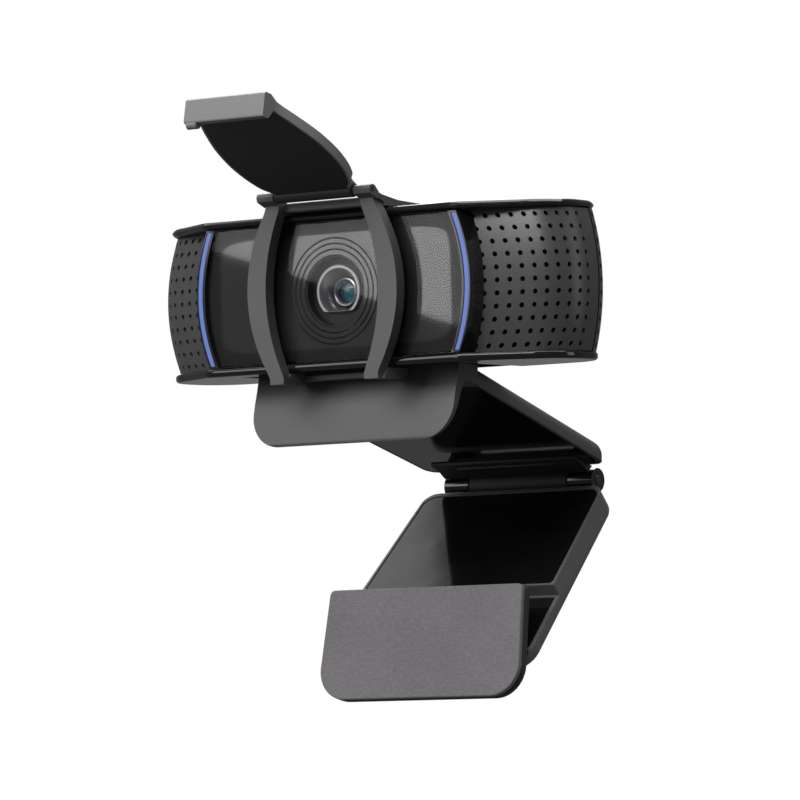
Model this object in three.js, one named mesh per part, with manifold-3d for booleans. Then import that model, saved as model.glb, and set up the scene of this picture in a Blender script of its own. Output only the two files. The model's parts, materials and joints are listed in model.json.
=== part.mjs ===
// Full-HD webcam on a folding monitor clip, with a snap-on flip-up privacy shutter.
// Units are millimetres, +Z is up, the lens looks towards -Y and +X is the right side from the front.
// Everything is first laid out around the lens axis, then the whole webcam is moved so that the
// origin lies on the underside of the clip's top arm, where it rests on a monitor's upper edge.
import * as THREE from "three";
import { mergeVertices } from "three/addons/utils/BufferGeometryUtils.js";
import Module from "manifold-3d";

// ---- driving dimensions ----------------------------------------------------------------------
const GAP = 0.3; // clearance kept between touching pieces
const SIDES = { left: -1, right: 1 };

// head
const HEAD_LEAN = THREE.MathUtils.degToRad(2.7); // the face looks slightly down
const HEAD_HALF_HEIGHT = 14.5;
const RAIL_HALF_WIDTH = 45.2; // glossy rails above and below the front
const RAIL_INNER = 13.0;
const END_HALF_WIDTH = 47.8; // of the outline that grilles and rear shell are set back from, at mid height
const END_BULGE = 2.0; // how much wider the ends are at mid height
const FACE_Y = -0.7; // front plane of the rails
const FACE_HALF_WIDTH = 28.6; // where the flat face ends and the wings sweep back
const SWEEP = THREE.MathUtils.degToRad(20);
const FRONT_END_R = 10.3;
const REAR_END_R = 8.0;
const END_Y = 13.0; // depth at which the ends are widest
const REAR_WALL = 1.3;
const SEAM_Y = 16.2; // the grilles end here, the rear housing goes on
const SET_BACK = 0.9; // grilles and rear shell lie this far inside that outline
const GRILLE_WALL = 1.3;

// front window
const WINDOW_HALF_HEIGHT = 12.7;
const ARC_END_X = 27.4; // middle line of a blue light guide, at the window's corners
const ARC_BULGE = 2.8;
const GUIDE_HALF = 0.5;
const WELL_R = 6.6;

// neck and tilt hinge, in the upright frame
const TILT_Y = 9.5;
const TILT_Z = -8.5;
const SADDLE_HALF = 24.6; // recess under the head that takes the clip
const SADDLE_FRONT = 3.9;
const SADDLE_TOP = -12.4;

// clip
const ARM_SLOPE = 0.25; // the top arm falls towards the back
const ARM_Z0 = -14.36; // height of its underside below the lens axis, at Y = 0
const ARM_THICK = 3.7;
const ARM_FRONT_Y = 12.8;
const ARM_END_Y = 58.8;
const ARM_FRONT_HALF = 22.4;
const ARM_END_HALF = 20.6;
const LIP_HALF = 22.75;
const LIP_BOTTOM = -27.8;
const REST_Y = 33; // the origin, along the top arm

// rear hinge
const HINGE_Y = 61.0;
const HINGE_Z = -31.8;
const HINGE_R = 2.3;
const HINGE_PIN_R = 0.9;
const HINGE_SPLITS = [-17.2, -11.4, 11.4, 17.2];

// lower arm, in its own slope of 45 degrees: u runs down the arm, v through it
const BACK_V = 70.64;
const WALL_V = 64.4;
const STEP_U = 10.5; // below this the arm is thinner, so that the foot can fold into it
const STEP_V = 67.1;
const LOWER_TOP_HALF = 20.7;
const LOWER_FLARE = 0.048; // half width gained for each millimetre down the arm
const LOWER_TOP_U = -16.3;
const LOWER_WALL = 1.2;
const FLOOR = 1.5;
const BOSS_U = 2;

// foot, hinged at the lower arm's end
const FOOT_PIN = [30.7, -66.6];
const FOOT_BARREL_R = 1.5;
const FOOT_KNUCKLE_HALF = 7.7;
const FOOT_LEAN = THREE.MathUtils.degToRad(8.5);
const FOOT_TOP = [27.97, -53.05];
const FOOT_HEIGHT = 21.2;
const FOOT_TOP_HALF = 22.0;
const FOOT_END_HALF = 22.7;
const FOOT_CORNER = 6;
const PAD_THICK = 1.0;
const PLATE_THICK = 1.4;

// privacy shutter, in the head's frame
const SHUTTER_FRONT = -4.8;
const BOW_INNER = 12.7;
const BOW_OUTER = 16.9;
const TIP_INNER = 9.1;
const TIP_OUTER = 12.2;
const FLAP_HINGE = [-6.1, 17.7];
const FLAP_OPEN = THREE.MathUtils.degToRad(28.9); // above the horizontal
const FLAP_THICK = 2.0;

// ---- materials -------------------------------------------------------------------------------
const FINISH = {
  shell: [0x4b4a4c, 0.62, 0],
  gloss: [0x0c0b0d, 0.12, 0],
  grille: [0x3a393b, 0.45, 0],
  window: [0x101012, 0.06, 0],
  backing: [0x2c2b2d, 0.5, 0],
  guide: [0x4f6fd8, 0.3, 0],
  rubber: [0x5f5c60, 0.85, 0],
  soft_black: [0x1b1b1c, 0.75, 0],
  shutter: [0x565658, 0.55, 0],
  flap: [0x262627, 0.6, 0],
  steel: [0xa9abae, 0.3, 1],
  brass: [0xb8923c, 0.35, 1],
  aluminium: [0xb9bcc0, 0.4, 1],
  copper: [0xb4683a, 0.35, 1],
  glass: [0x1f5560, 0.05, 0],
  board: [0x174d2c, 0.5, 0],
  chip: [0x1d1d1f, 0.4, 0],
  connector: [0xd9d6cc, 0.5, 0],
};

// ---- solids ----------------------------------------------------------------------------------
const wasm = await Module();
wasm.setup();

function solidOf(geometry) {
  const bare = geometry.clone();
  bare.deleteAttribute("normal");
  bare.deleteAttribute("uv");
  const merged = mergeVertices(bare, 1e-5);
  const vertProperties = new Float32Array(merged.attributes.position.array);
  const triVerts = new Uint32Array(merged.index.array);
  return new wasm.Manifold(new wasm.Mesh({ numProp: 3, vertProperties, triVerts }));
}

function geometryOf(solid) {
  const { vertProperties, triVerts, numProp } = solid.getMesh();
  const count = vertProperties.length / numProp;
  const places = new Float32Array(count * 3);
  for (let i = 0; i < count; i += 1) {
    for (let k = 0; k < 3; k += 1) places[i * 3 + k] = vertProperties[i * numProp + k];
  }
  const geometry = new THREE.BufferGeometry();
  geometry.setAttribute("position", new THREE.BufferAttribute(places, 3));
  geometry.setIndex(new THREE.BufferAttribute(new Uint32Array(triVerts), 1));
  geometry.computeVertexNormals();
  return geometry;
}

const joined = (solids) => solids.reduce((all, one) => all.add(one));
const cutBy = (solid, cutters) => cutters.reduce((rest, one) => rest.subtract(one), solid);

function box(x0, x1, y0, y1, z0, z1) {
  const geometry = new THREE.BoxGeometry(x1 - x0, y1 - y0, z1 - z0);
  geometry.translate((x0 + x1) / 2, (y0 + y1) / 2, (z0 + z1) / 2);
  return solidOf(geometry);
}

function extruded(outline, from, to, basis) {
  const shape = new THREE.Shape(outline.map(([a, b]) => new THREE.Vector2(a, b)));
  const geometry = new THREE.ExtrudeGeometry(shape, { depth: to - from, bevelEnabled: false });
  geometry.translate(0, 0, from);
  geometry.applyMatrix4(basis);
  return solidOf(geometry);
}

const vector = ([x, y, z]) => new THREE.Vector3(x, y, z);
const axes = (x, y, z) => new THREE.Matrix4().makeBasis(vector(x), vector(y), vector(z));
const SIDE_VIEW = axes([0, 1, 0], [0, 0, 1], [1, 0, 0]);
const FRONT_VIEW = axes([1, 0, 0], [0, 0, 1], [0, -1, 0]);
const TOP_VIEW = new THREE.Matrix4();

const alongX = (outline, x0, x1) => extruded(outline, x0, x1, SIDE_VIEW);
const alongY = (outline, y0, y1) => extruded(outline, -y1, -y0, FRONT_VIEW);
const alongZ = (outline, z0, z1) => extruded(outline, z0, z1, TOP_VIEW);

// a rod or ring along X or Y, centred on the other two coordinates
function rodX(y, z, r, x0, x1, sides = 20) {
  const geometry = new THREE.CylinderGeometry(r, r, x1 - x0, sides);
  geometry.rotateZ(Math.PI / 2);
  geometry.translate((x0 + x1) / 2, y, z);
  return solidOf(geometry);
}

function rodY(x, z, r, y0, y1, sides = 24) {
  const geometry = new THREE.CylinderGeometry(r, r, y1 - y0, sides);
  geometry.translate(x, (y0 + y1) / 2, z);
  return solidOf(geometry);
}

// a ring-shaped body turned about the lens axis from a closed outline of [radius, depth] points
function turned(outline, sides = 32) {
  const points = [...outline, outline[0]].map(([r, y]) => new THREE.Vector2(r, y));
  return solidOf(new THREE.LatheGeometry(points, sides));
}

const parts = new THREE.Group();
const head = new THREE.Group();
head.rotation.x = HEAD_LEAN;
const flap = new THREE.Group();
flap.position.set(0, FLAP_HINGE[0], FLAP_HINGE[1]);
flap.rotation.x = -FLAP_OPEN;
head.add(flap);
parts.add(head);

function piece(group, name, finish, solid) {
  const [color, roughness, metalness] = FINISH[finish];
  const material = new THREE.MeshStandardMaterial({ color, roughness, metalness });
  const mesh = new THREE.Mesh(geometryOf(solid), material);
  mesh.name = name;
  group.add(mesh);
}

// ---- head: outline seen from above -----------------------------------------------------------
function arcPoints(cx, cy, r, from, to, steps) {
  const points = [];
  for (let i = 0; i <= steps; i += 1) {
    const a = from + ((to - from) * i) / steps;
    points.push([cx + r * Math.sin(a), cy - r * Math.cos(a)]);
  }
  return points;
}

function headPlan(halfWidth, inset) {
  const frontX = halfWidth - FRONT_END_R;
  const rearX = halfWidth - REAR_END_R;
  const rearY = END_Y + FRONT_END_R - REAR_END_R;
  const right = [
    [FACE_HALF_WIDTH - inset * Math.tan(SWEEP / 2), FACE_Y + inset],
    ...arcPoints(frontX, END_Y, FRONT_END_R - inset, SWEEP, Math.PI / 2, 6),
    ...arcPoints(rearX, rearY, REAR_END_R - inset, Math.PI / 2, Math.PI, 6),
  ];
  const left = right.map(([x, y]) => [-x, y]).reverse();
  return [...right, ...left];
}

const halfWidthAt = (z) => END_HALF_WIDTH - END_BULGE * (z / RAIL_INNER) ** 2;

// the head's body between two heights, with its bulging ends, drawn in by an inset
function headBody(inset, low, high, levels = 6) {
  const rings = [];
  for (let i = 0; i <= levels; i += 1) {
    const z = low + ((high - low) * i) / levels;
    rings.push(headPlan(halfWidthAt(z), inset).map(([x, y]) => [x, y, z]));
  }
  const n = rings[0].length;
  const index = [];
  for (let k = 0; k < levels; k += 1) {
    for (let i = 0; i < n; i += 1) {
      const a = k * n + i;
      const b = k * n + ((i + 1) % n);
      index.push(a, b, b + n, a, b + n, a + n);
    }
  }
  const flat = rings[0].map(([x, y]) => new THREE.Vector2(x, y));
  const top = levels * n;
  for (const [a, b, c] of THREE.ShapeUtils.triangulateShape(flat, [])) {
    index.push(a, c, b, top + a, top + b, top + c);
  }
  const geometry = new THREE.BufferGeometry();
  geometry.setAttribute("position", new THREE.Float32BufferAttribute(rings.flat(2), 3));
  geometry.setIndex(index);
  return solidOf(geometry);
}

// curved side of the window, of a light guide or of a grille, as seen from the front
const arcX = (z, offset) => ARC_END_X + ARC_BULGE * (1 - (z / RAIL_INNER) ** 2) + offset;

function bowed(side, innerOffset, outerX, halfHeight, steps = 10) {
  const inner = [];
  const outer = [];
  for (let i = 0; i <= steps; i += 1) {
    const z = -halfHeight + (2 * halfHeight * i) / steps;
    inner.push([side * arcX(z, innerOffset), z]);
    outer.push([side * (typeof outerX === "number" ? outerX : outerX(z)), z]);
  }
  return [...inner, ...outer.reverse()];
}

function facePlate(offset, halfHeight, steps = 10) {
  const right = [];
  for (let i = 0; i <= steps; i += 1) {
    const z = -halfHeight + (2 * halfHeight * i) / steps;
    right.push([arcX(z, offset), z]);
  }
  return [...right, ...right.map(([x, z]) => [-x, z]).reverse()];
}

// ---- head: casing ----------------------------------------------------------------------------
const rails = joined([
  alongZ(headPlan(RAIL_HALF_WIDTH, 0), RAIL_INNER, HEAD_HALF_HEIGHT),
  alongZ(headPlan(RAIL_HALF_WIDTH, 0), -HEAD_HALF_HEIGHT, -RAIL_INNER),
]);
const rearShell = cutBy(headBody(SET_BACK, -13.2, 13.2), [
  headBody(SET_BACK + REAR_WALL, -14, 14),
  box(-60, 60, -10, SEAM_Y, -20, 20),
]);
const saddleWall = 1.0;
const saddleBlock = alongZ(headPlan(RAIL_HALF_WIDTH, 0.2), -14.4, SADDLE_TOP + 1.2).intersect(
  box(-SADDLE_HALF - saddleWall, SADDLE_HALF + saddleWall, SADDLE_FRONT - saddleWall, 30, -20, 0),
);
const saddle = box(-SADDLE_HALF, SADDLE_HALF, SADDLE_FRONT, 30, -20, SADDLE_TOP);
const cheeks = [-1, 1].map((side) => {
  const [near, far] = [5.3, 7.3].map((x) => side * x);
  return box(Math.min(near, far), Math.max(near, far), TILT_Y - 2.4, TILT_Y + 2.6, -12, -5.6);
});
const PIN_Y = TILT_Y * Math.cos(HEAD_LEAN) + TILT_Z * Math.sin(HEAD_LEAN);
const PIN_Z = TILT_Z * Math.cos(HEAD_LEAN) - TILT_Y * Math.sin(HEAD_LEAN);
const neckSlot = box(-5, 5, PIN_Y - 3.9, PIN_Y + 3.9, -13, -10.6);
const POST_X = 30;
const screwPosts = [-POST_X, POST_X].map((x) => rodY(x, 0, 2.2, 17.8, 22.6, 16));
const screwHoles = [-POST_X, POST_X].map((x) => rodY(x, 0, 1.2, 17, 21.6, 16));
const housing = cutBy(joined([rails, rearShell, saddleBlock, ...cheeks, ...screwPosts]), [
  saddle,
  neckSlot,
  rodX(PIN_Y, PIN_Z, 1.2, -9, 9),
  rodY(18, -6, 3.0, 20, 26),
  ...screwHoles,
]);
piece(head, "rear_housing", "gloss", housing);

for (const [name, side] of Object.entries(SIDES)) {
  const skin = cutBy(headBody(SET_BACK, -12.7, 12.7), [
    headBody(SET_BACK + GRILLE_WALL, -14, 14),
    box(-60, 60, SEAM_Y - GAP, 40, -20, 20),
  ]);
  const area = alongY(bowed(side, 1.5, 60, 14), -5, 30);
  piece(head, `${name}_grille`, "grille", skin.intersect(area));

  const strip = bowed(side, -GUIDE_HALF, (z) => arcX(z, GUIDE_HALF), 12.5);
  piece(head, `${name}_light_guide`, "guide", alongY(strip, -0.1, 4.3));
  const lightBoard = bowed(side, -2.2, (z) => arcX(z, 1.0), 11);
  piece(head, `${name}_light_board`, "board", alongY(lightBoard, 4.7, 5.5));

  piece(head, `${name}_microphone`, "steel", rodY(side * 36, 0, 2, 6.6, 9.0, 16));
  const boot = rodY(side * 36, 0, 3.1, 6.1, 9.4, 16).subtract(rodY(side * 36, 0, 2.3, 4, 11, 16));
  piece(head, `${name}_microphone_boot`, "soft_black", boot);
}

// ---- head: window and the light guides' frame -------------------------------------------------
piece(head, "window", "window", alongY(facePlate(-GUIDE_HALF - 0.25, 12.6), 0, 1.1));
const backing = alongY(facePlate(-GUIDE_HALF - 0.35, 12.5), 1.4, 2.4).subtract(rodY(0, 0, WELL_R, 1, 3, 40));
piece(head, "window_backing", "backing", backing);

const guideSlots = [-1, 1].map((side) => {
  const slot = bowed(side, -GUIDE_HALF - 0.25, (z) => arcX(z, GUIDE_HALF + 0.2), 12.6);
  return alongY(slot, -1, 6);
});
const bezel = cutBy(alongY(facePlate(1.2, WINDOW_HALF_HEIGHT), -0.1, 3.9), [
  alongY(facePlate(-GUIDE_HALF - 0.1, 14), -1, 2.7),
  rodY(0, 0, WELL_R, 1, 6, 40),
  box(-SADDLE_HALF - 1.4, SADDLE_HALF + 1.4, 2.6, 6, -14, -10.9),
  ...guideSlots,
]);
const bezelBridges = [-1, 1].flatMap((side) => [-1, 1].map((end) => {
  const x = side * arcX(12.4, 0);
  const z = end * 12.65;
  return box(x - 1.2, x + 1.2, 2.7, 3.9, z - 0.05, z + 0.05);
}));
piece(head, "window_bezel", "gloss", joined([bezel, ...bezelBridges]));

// ---- head: lens and focus drive ---------------------------------------------------------------
const wellOutline = [
  [6.3, 1.5], [6.3, 7.0], [3.4, 7.0], [3.4, 4.8], [4.7, 3.2],
  [4.9, 2.0], [5.3, 2.0], [5.3, 2.7], [5.9, 2.7], [5.9, 1.5],
];
piece(head, "lens_well", "soft_black", turned(wellOutline));

const HOLDER_HALF = 4.75;
const YOKE_HALF = HOLDER_HALF + GAP + 0.45;
const square = (half, y0, y1) => box(-half, half, y0, y1, -half, half);
const holderBore = rodY(0, 0, 4.2, 6, 15, 32);
piece(head, "lens_holder", "chip", square(HOLDER_HALF, 7.4, 13.2).subtract(holderBore));
piece(head, "focus_yoke", "steel", square(YOKE_HALF, 7.6, 13.1).subtract(square(HOLDER_HALF + GAP, 6, 15)));

const barrelOutline = [
  [2.6, 4.0], [2.75, 4.3], [2.75, 7.8], [3.2, 7.8], [3.2, 12.4], [2.3, 12.4], [2.3, 10.2],
  [1.5, 10.2], [1.5, 5.8], [2.3, 5.8], [2.3, 4.6], [2.0, 4.0],
];
piece(head, "lens_barrel", "chip", turned(barrelOutline, 28));
piece(head, "focus_coil", "copper", turned([[3.45, 8.8], [3.8, 8.8], [3.8, 11.6], [3.45, 11.6]], 28));
const domeOutline = [[0, 4.35], [1.0, 4.5], [1.9, 4.8], [2.05, 5.0], [2.05, 5.5], [0, 5.5]];
const dome = new THREE.LatheGeometry(domeOutline.map(([r, y]) => new THREE.Vector2(r, y)), 24);
piece(head, "front_lens", "glass", solidOf(dome));
piece(head, "rear_lens", "glass", rodY(0, 0, 2.05, 10.5, 11.8));
piece(head, "ir_filter", "glass", box(-3.5, 3.5, 13.5, 13.9, -3.5, 3.5));
piece(head, "image_sensor", "chip", box(-3.8, 3.8, 14.2, 15.1, -3.2, 3.2));
piece(head, "sensor_board", "board", box(-6.5, 6.5, 15.4, 16.2, -5.4, 5.4));

// ---- head: electronics ------------------------------------------------------------------------
const BOARD_Y = 17.0;
piece(head, "main_board", "board", box(-26, 26, BOARD_Y, BOARD_Y + 1, -9.5, 11));
piece(head, "main_chip", "chip", box(-5, 5, BOARD_Y + 1.2, BOARD_Y + 2.1, -3, 7));
const chips = { flash_chip: [-20, 4, 2.2], audio_chip: [16, -3, 2.4], crystal: [-13, -4, 1.6] };
for (const [name, [x, z, half]] of Object.entries(chips)) {
  const low = z - half * 0.7;
  const high = z + half * 0.7;
  piece(head, name, "chip", box(x - half, x + half, BOARD_Y - 1.5, BOARD_Y - 0.2, low, high));
}
piece(head, "heat_spreader", "aluminium", box(-14, 14, BOARD_Y + 2.4, BOARD_Y + 3.2, -4, 10));
piece(head, "cable_header", "connector", box(13.5, 22.5, BOARD_Y + 1.2, BOARD_Y + 2.8, -8, -4.5));
const glandOutline = [
  [1.4, 19.9], [2.7, 19.9], [2.7, 23.0], [3.8, 23.3], [3.8, 24.3], [3.0, 25.0], [1.4, 25.0],
];
const gland = turned(glandOutline, 20);
const glandRing = geometryOf(gland);
glandRing.translate(18, 0, -6);
piece(head, "cable_gland", "soft_black", solidOf(glandRing));
for (const [name, side] of Object.entries(SIDES)) {
  const x = side * POST_X;
  const screw = rodY(x, 0, 0.9, 16.6, 21.2, 12).add(rodY(x, 0, 2.0, 15.6, 16.8, 12));
  piece(head, `${name}_housing_screw`, "steel", screw);
}

// ---- privacy shutter --------------------------------------------------------------------------
// the arms bow outwards: widest at mid height, close together where they hook over the head
function bowX(z, tip, middle) {
  return middle - (middle - tip) * Math.min(1, Math.abs(z / 15.5)) ** 2;
}

function shutterArm(side) {
  const steps = 10;
  const inner = [];
  const outer = [];
  for (let i = 0; i <= steps; i += 1) {
    const z = -16.8 + (33.9 * i) / steps;
    inner.push([side * bowX(z, TIP_INNER, BOW_INNER), z]);
    outer.push([side * bowX(z, TIP_OUTER, BOW_OUTER), z]);
  }
  const bow = alongY([...inner, ...outer.reverse()], SHUTTER_FRONT, FACE_Y - GAP);
  const [x0, x1] = side > 0 ? [TIP_INNER, TIP_OUTER] : [-TIP_OUTER, -TIP_INNER];
  const above = HEAD_HALF_HEIGHT + GAP;
  const overHead = [
    [-2, above], [9, above], [9, above + 0.9], [2, above + 1.2], [SHUTTER_FRONT, 17.1], [SHUTTER_FRONT, 16],
  ];
  const underHead = [[-3, -above], [3.4, -above], [3.4, -above - 1.4], [2.6, -16.8], [-4, -16.8]];
  const wide = side > 0 ? [x0, x1 + 0.6] : [x0 - 0.6, x1];
  return joined([bow, alongX(overHead, ...wide), alongX(underHead, ...wide)]);
}

const bridgeOutline = [[-3.2, 14.8], [9, 14.8], [9, 15.7], [-2.2, 15.9], [-3.2, 15.4]];
const bridge = alongX(bridgeOutline, -9.5, 9.5);
const PIN_SEAT_R = 0.75;
const hingeSeat = [-1, 1].map((side) => {
  const [x0, x1] = side > 0 ? [TIP_INNER, TIP_OUTER + 0.6] : [-TIP_OUTER - 0.6, -TIP_INNER];
  return alongX([[-7.7, 16.6], [-7.4, 19.0], [-4.9, 19.0], [-4.0, 16.6]], x0, x1);
});
const frame = cutBy(joined([shutterArm(-1), shutterArm(1), bridge, ...hingeSeat]), [
  rodX(FLAP_HINGE[0], FLAP_HINGE[1], PIN_SEAT_R + 0.2, -20, 20, 16),
]);
piece(head, "shutter_frame", "shutter", frame);
piece(head, "shutter_pin", "steel", rodX(FLAP_HINGE[0], FLAP_HINGE[1], 0.55, -12.4, 12.4, 12));

// the flap in its own frame: it runs along -Y from the hinge, its underside faces -Z
const flapHalf = [
  [1.3, 8.6], [-1.5, 8.6], [-3.4, 10.1], [-7, 11.3], [-11.5, 11.85], [-16.8, 11.5], [-22, 10.3], [-26, 8.9],
  [-28.6, 8.6],
];
const flapPlan = [...flapHalf.map(([y, x]) => [x, y]), ...flapHalf.map(([y, x]) => [-x, y]).reverse()];
const flapUnder = -0.5;
const flapPlate = alongZ(flapPlan, flapUnder, flapUnder + FLAP_THICK);
const tabProfile = [[-31.4, 1.2], [-29.4, 2.0], [-27.9, 1.4], [-28.3, -2.8], [-30.1, -3.1]];
const tab = alongX(tabProfile, -8.6, 8.6);
const catchNub = rodX(-28.9, -3.2, 0.9, -8.3, -5.9, 12);
const flapSolid = joined([flapPlate, rodX(0, 0, 1.35, -8.6, 8.6, 16), tab, catchNub]);
piece(flap, "shutter_flap", "flap", flapSolid.subtract(rodX(0, 0, 0.85, -10, 10, 16)));

// ---- clip: top arm and front lip ----------------------------------------------------------------
const underside = (y) => ARM_Z0 - ARM_SLOPE * y;
const armTop = (y) => underside(y) + ARM_THICK;
const armSide = [
  [ARM_FRONT_Y, underside(ARM_FRONT_Y)],
  [57.6, underside(57.6)],
  [ARM_END_Y, underside(57.6) + 0.6],
  [ARM_END_Y, armTop(56.4) - 0.6],
  [57.2, armTop(56.4)],
  [ARM_FRONT_Y, armTop(ARM_FRONT_Y)],
];
const armPlan = [
  [ARM_FRONT_HALF, ARM_FRONT_Y - 1],
  [ARM_END_HALF, ARM_END_Y + 1],
  [-ARM_END_HALF, ARM_END_Y + 1],
  [-ARM_FRONT_HALF, ARM_FRONT_Y - 1],
];
const linerPlan = (inset) => [
  [ARM_FRONT_HALF - inset, ARM_FRONT_Y + inset],
  [ARM_END_HALF - inset, 57.4 - inset],
  [-ARM_END_HALF + inset, 57.4 - inset],
  [-ARM_FRONT_HALF + inset, ARM_FRONT_Y + inset],
];
const LINER = 1.0;
const LEAF_FRONT = 54.2; // the rear hinge's leaves start here
const LEAF_HALF = HINGE_SPLITS[3] + 0.4;
const ARM_SCREW = [14, 50];
function linerSlab(low, high) {
  const outline = [
    [5, underside(5) + low], [60, underside(60) + low], [60, underside(60) + high], [5, underside(5) + high],
  ];
  return alongX(outline, -30, 30);
}
const [screwX, screwY] = ARM_SCREW;
const screwFoot = underside(screwY);
const topArm = cutBy(alongX(armSide, -30, 30).intersect(alongZ(armPlan, -40, 0)), [
  linerSlab(-1, LINER + GAP).intersect(alongZ(linerPlan(0.9), -40, 0)),
  box(-LEAF_HALF, LEAF_HALF, LEAF_FRONT, 62, -40, -27.05),
  box(-LEAF_HALF, LEAF_HALF, 57.3, 62, -40, underside(57) + 2.4),
  ...[-screwX, screwX].map((x) => rodZ(x, screwY, 1.2, screwFoot - 1, screwFoot + 3.3)),
]);
piece(parts, "top_arm", "shell", topArm);
const liner = linerSlab(0, LINER).intersect(alongZ(linerPlan(1.2), -40, 0));
const hingeNotch = box(-LEAF_HALF, LEAF_HALF, LEAF_FRONT, 62, -40, 0);
piece(parts, "top_arm_liner", "gloss", liner.subtract(hingeNotch));
for (const [name, side] of Object.entries(SIDES)) {
  const screw = rodZ(side * screwX, screwY, 0.9, screwFoot + 1.5, screwFoot + 3.2);
  piece(parts, `${name}_top_screw`, "steel", screw);
}

function rodZ(x, y, r, z0, z1, sides = 12) {
  const geometry = new THREE.CylinderGeometry(r, r, z1 - z0, sides);
  geometry.rotateX(Math.PI / 2);
  geometry.translate(x, y, (z0 + z1) / 2);
  return solidOf(geometry);
}

const lipSide = [
  [6.4, -13.9], [5.0, -20.0], [3.75, -27.2], [4.1, LIP_BOTTOM], [4.7, -26.8], [5.6, -22.9], [8.4, -16.7],
  [ARM_FRONT_Y - GAP, underside(ARM_FRONT_Y)], [ARM_FRONT_Y - GAP, -13.6],
];
const roundedPlate = (half, top, bottom, r) => {
  const right = arcPoints(half - r, bottom + r, r, 0, Math.PI / 2, 5);
  return [[0, bottom], ...right, [half, top], [-half, top], ...right.map(([x, z]) => [-x, z]).reverse()];
};
const lip = alongX(lipSide, -30, 30).intersect(alongY(roundedPlate(LIP_HALF, -10, LIP_BOTTOM, 6.5), 0, 20));
const tongueSeat = box(-4.6, 4.6, 6.9, 12.1, -15.3, -10);
piece(parts, "front_lip", "shell", lip.subtract(tongueSeat));
const lipPadSide = [[6.0, -22.9], [5.1, -26.2], [5.7, -26.4], [6.6, -23.1], [8.8, -18.2], [8.2, -17.95]];
piece(parts, "lip_pad", "rubber", alongX(lipPadSide, -15.5, 15.5));

// ---- neck: tongue, pin and friction washers ------------------------------------------------------
const tongueOutline = [
  [7.2, -15.0], [11.8, -15.0], ...arcPoints(TILT_Y, TILT_Z, 2.3, Math.PI / 2, (Math.PI * 3) / 2, 8),
];
const tongue = alongX(tongueOutline, -4.2, 4.2).subtract(rodX(TILT_Y, TILT_Z, 1.2, -10, 10));
piece(parts, "tilt_tongue", "shell", tongue);
piece(parts, "tilt_pin", "steel", rodX(TILT_Y, TILT_Z, 0.9, -7.6, 7.6));
for (const [name, side] of Object.entries(SIDES)) {
  const [x0, x1] = [4.45, 5.05].map((x) => side * x).sort((a, b) => a - b);
  const ring = rodX(TILT_Y, TILT_Z, 2.2, x0, x1).subtract(rodX(TILT_Y, TILT_Z, 1.2, -10, 10));
  piece(parts, `${name}_tilt_washer`, "steel", ring);
}

// ---- rear hinge ----------------------------------------------------------------------------------
const pinHole = rodX(HINGE_Y, HINGE_Z, HINGE_PIN_R + GAP, -30, 30);
const upperLeaf = [
  [54.6, -27.4], [56.8, -27.4], [60.9, -29.8], [61.6, -31.8], [59.4, -31.2], [56.6, -29.0], [54.6, -29.0],
];
const [splitA, splitB, splitC, splitD] = HINGE_SPLITS;
const upperKnuckle = joined([
  rodX(HINGE_Y, HINGE_Z, HINGE_R, splitB + GAP / 2, splitC - GAP / 2),
  alongX(upperLeaf, splitB + GAP / 2, splitC - GAP / 2),
]).subtract(pinHole);
piece(parts, "upper_hinge_knuckle", "gloss", upperKnuckle);
piece(parts, "rear_hinge_pin", "steel", rodX(HINGE_Y, HINGE_Z, HINGE_PIN_R, splitA - 0.6, splitD + 0.6));

// ---- lower arm -------------------------------------------------------------------------------------
// place of a point given down the arm (u) and through it (v)
const at = (u, v) => [(v - u) / Math.SQRT2, -(u + v) / Math.SQRT2];
const lowerSide = [
  at(LOWER_TOP_U, WALL_V), at(-17.7, 65.0), at(-18.6, 67.4), at(-18.0, BACK_V - 0.6), at(-17.4, BACK_V),
  at(28.4, BACK_V), [29.6, -71.2], [29.3, -65.6], at(STEP_U, STEP_V), at(STEP_U, WALL_V),
];
const lowerHalf = (u) => LOWER_TOP_HALF + LOWER_FLARE * (u - LOWER_TOP_U);
// outline of the arm square to its back, from u0 to u1, drawn in by an inset, with rounded lower corners
function lowerOutline(u0, u1, inset, r) {
  const end = lowerHalf(u1) - inset;
  const corner = arcPoints(end - r, -u1 + r, r, 0, Math.PI / 2, 5);
  const right = [...corner, [lowerHalf(u0) - inset, -u0]];
  return [...right, ...right.map(([x, y]) => [-x, y]).reverse()];
}
// a slab of that outline between two depths through the arm
function lowerSlab(u0, u1, inset, v0, v1, r) {
  const shape = new THREE.Shape(lowerOutline(u0, u1, inset, r).map(([x, y]) => new THREE.Vector2(x, y)));
  const geometry = new THREE.ExtrudeGeometry(shape, { depth: v1 - v0, bevelEnabled: false });
  const s = Math.SQRT1_2;
  // sheet x is X, sheet y runs up the arm, depth runs towards the front
  const basis = axes([1, 0, 0], [0, s, s], [0, -s, s]);
  const [y, z] = at(0, v1);
  geometry.applyMatrix4(basis);
  geometry.translate(0, y, z);
  return solidOf(geometry);
}
const lowerBlock = alongX(lowerSide, -30, 30).intersect(lowerSlab(-20, 30.6, 0, 60, 72, 5.5));
const upperHollow = lowerSlab(-25, STEP_U - 1.3, LOWER_WALL, 55, BACK_V - FLOOR, 0.6);
const lowerHollow = lowerSlab(STEP_U + 0.4, 24.4, LOWER_WALL, 55, BACK_V - 2.4, 0.6);
const lowerRecess = lowerSlab(-25, -15.0, 2.6, 55, BACK_V + 2, 0.1);
const boss = lowerRod(0, BOSS_U, 4.6, 66.4, BACK_V - FLOOR + 0.5);
const bossHole = lowerRod(0, BOSS_U, 3.5, 66.0, BACK_V + 1);
const knuckleGap = alongX([at(22.9, 60), at(33, 60), at(33, 74), at(22.9, 74)], -8.1, 8.1);
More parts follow.
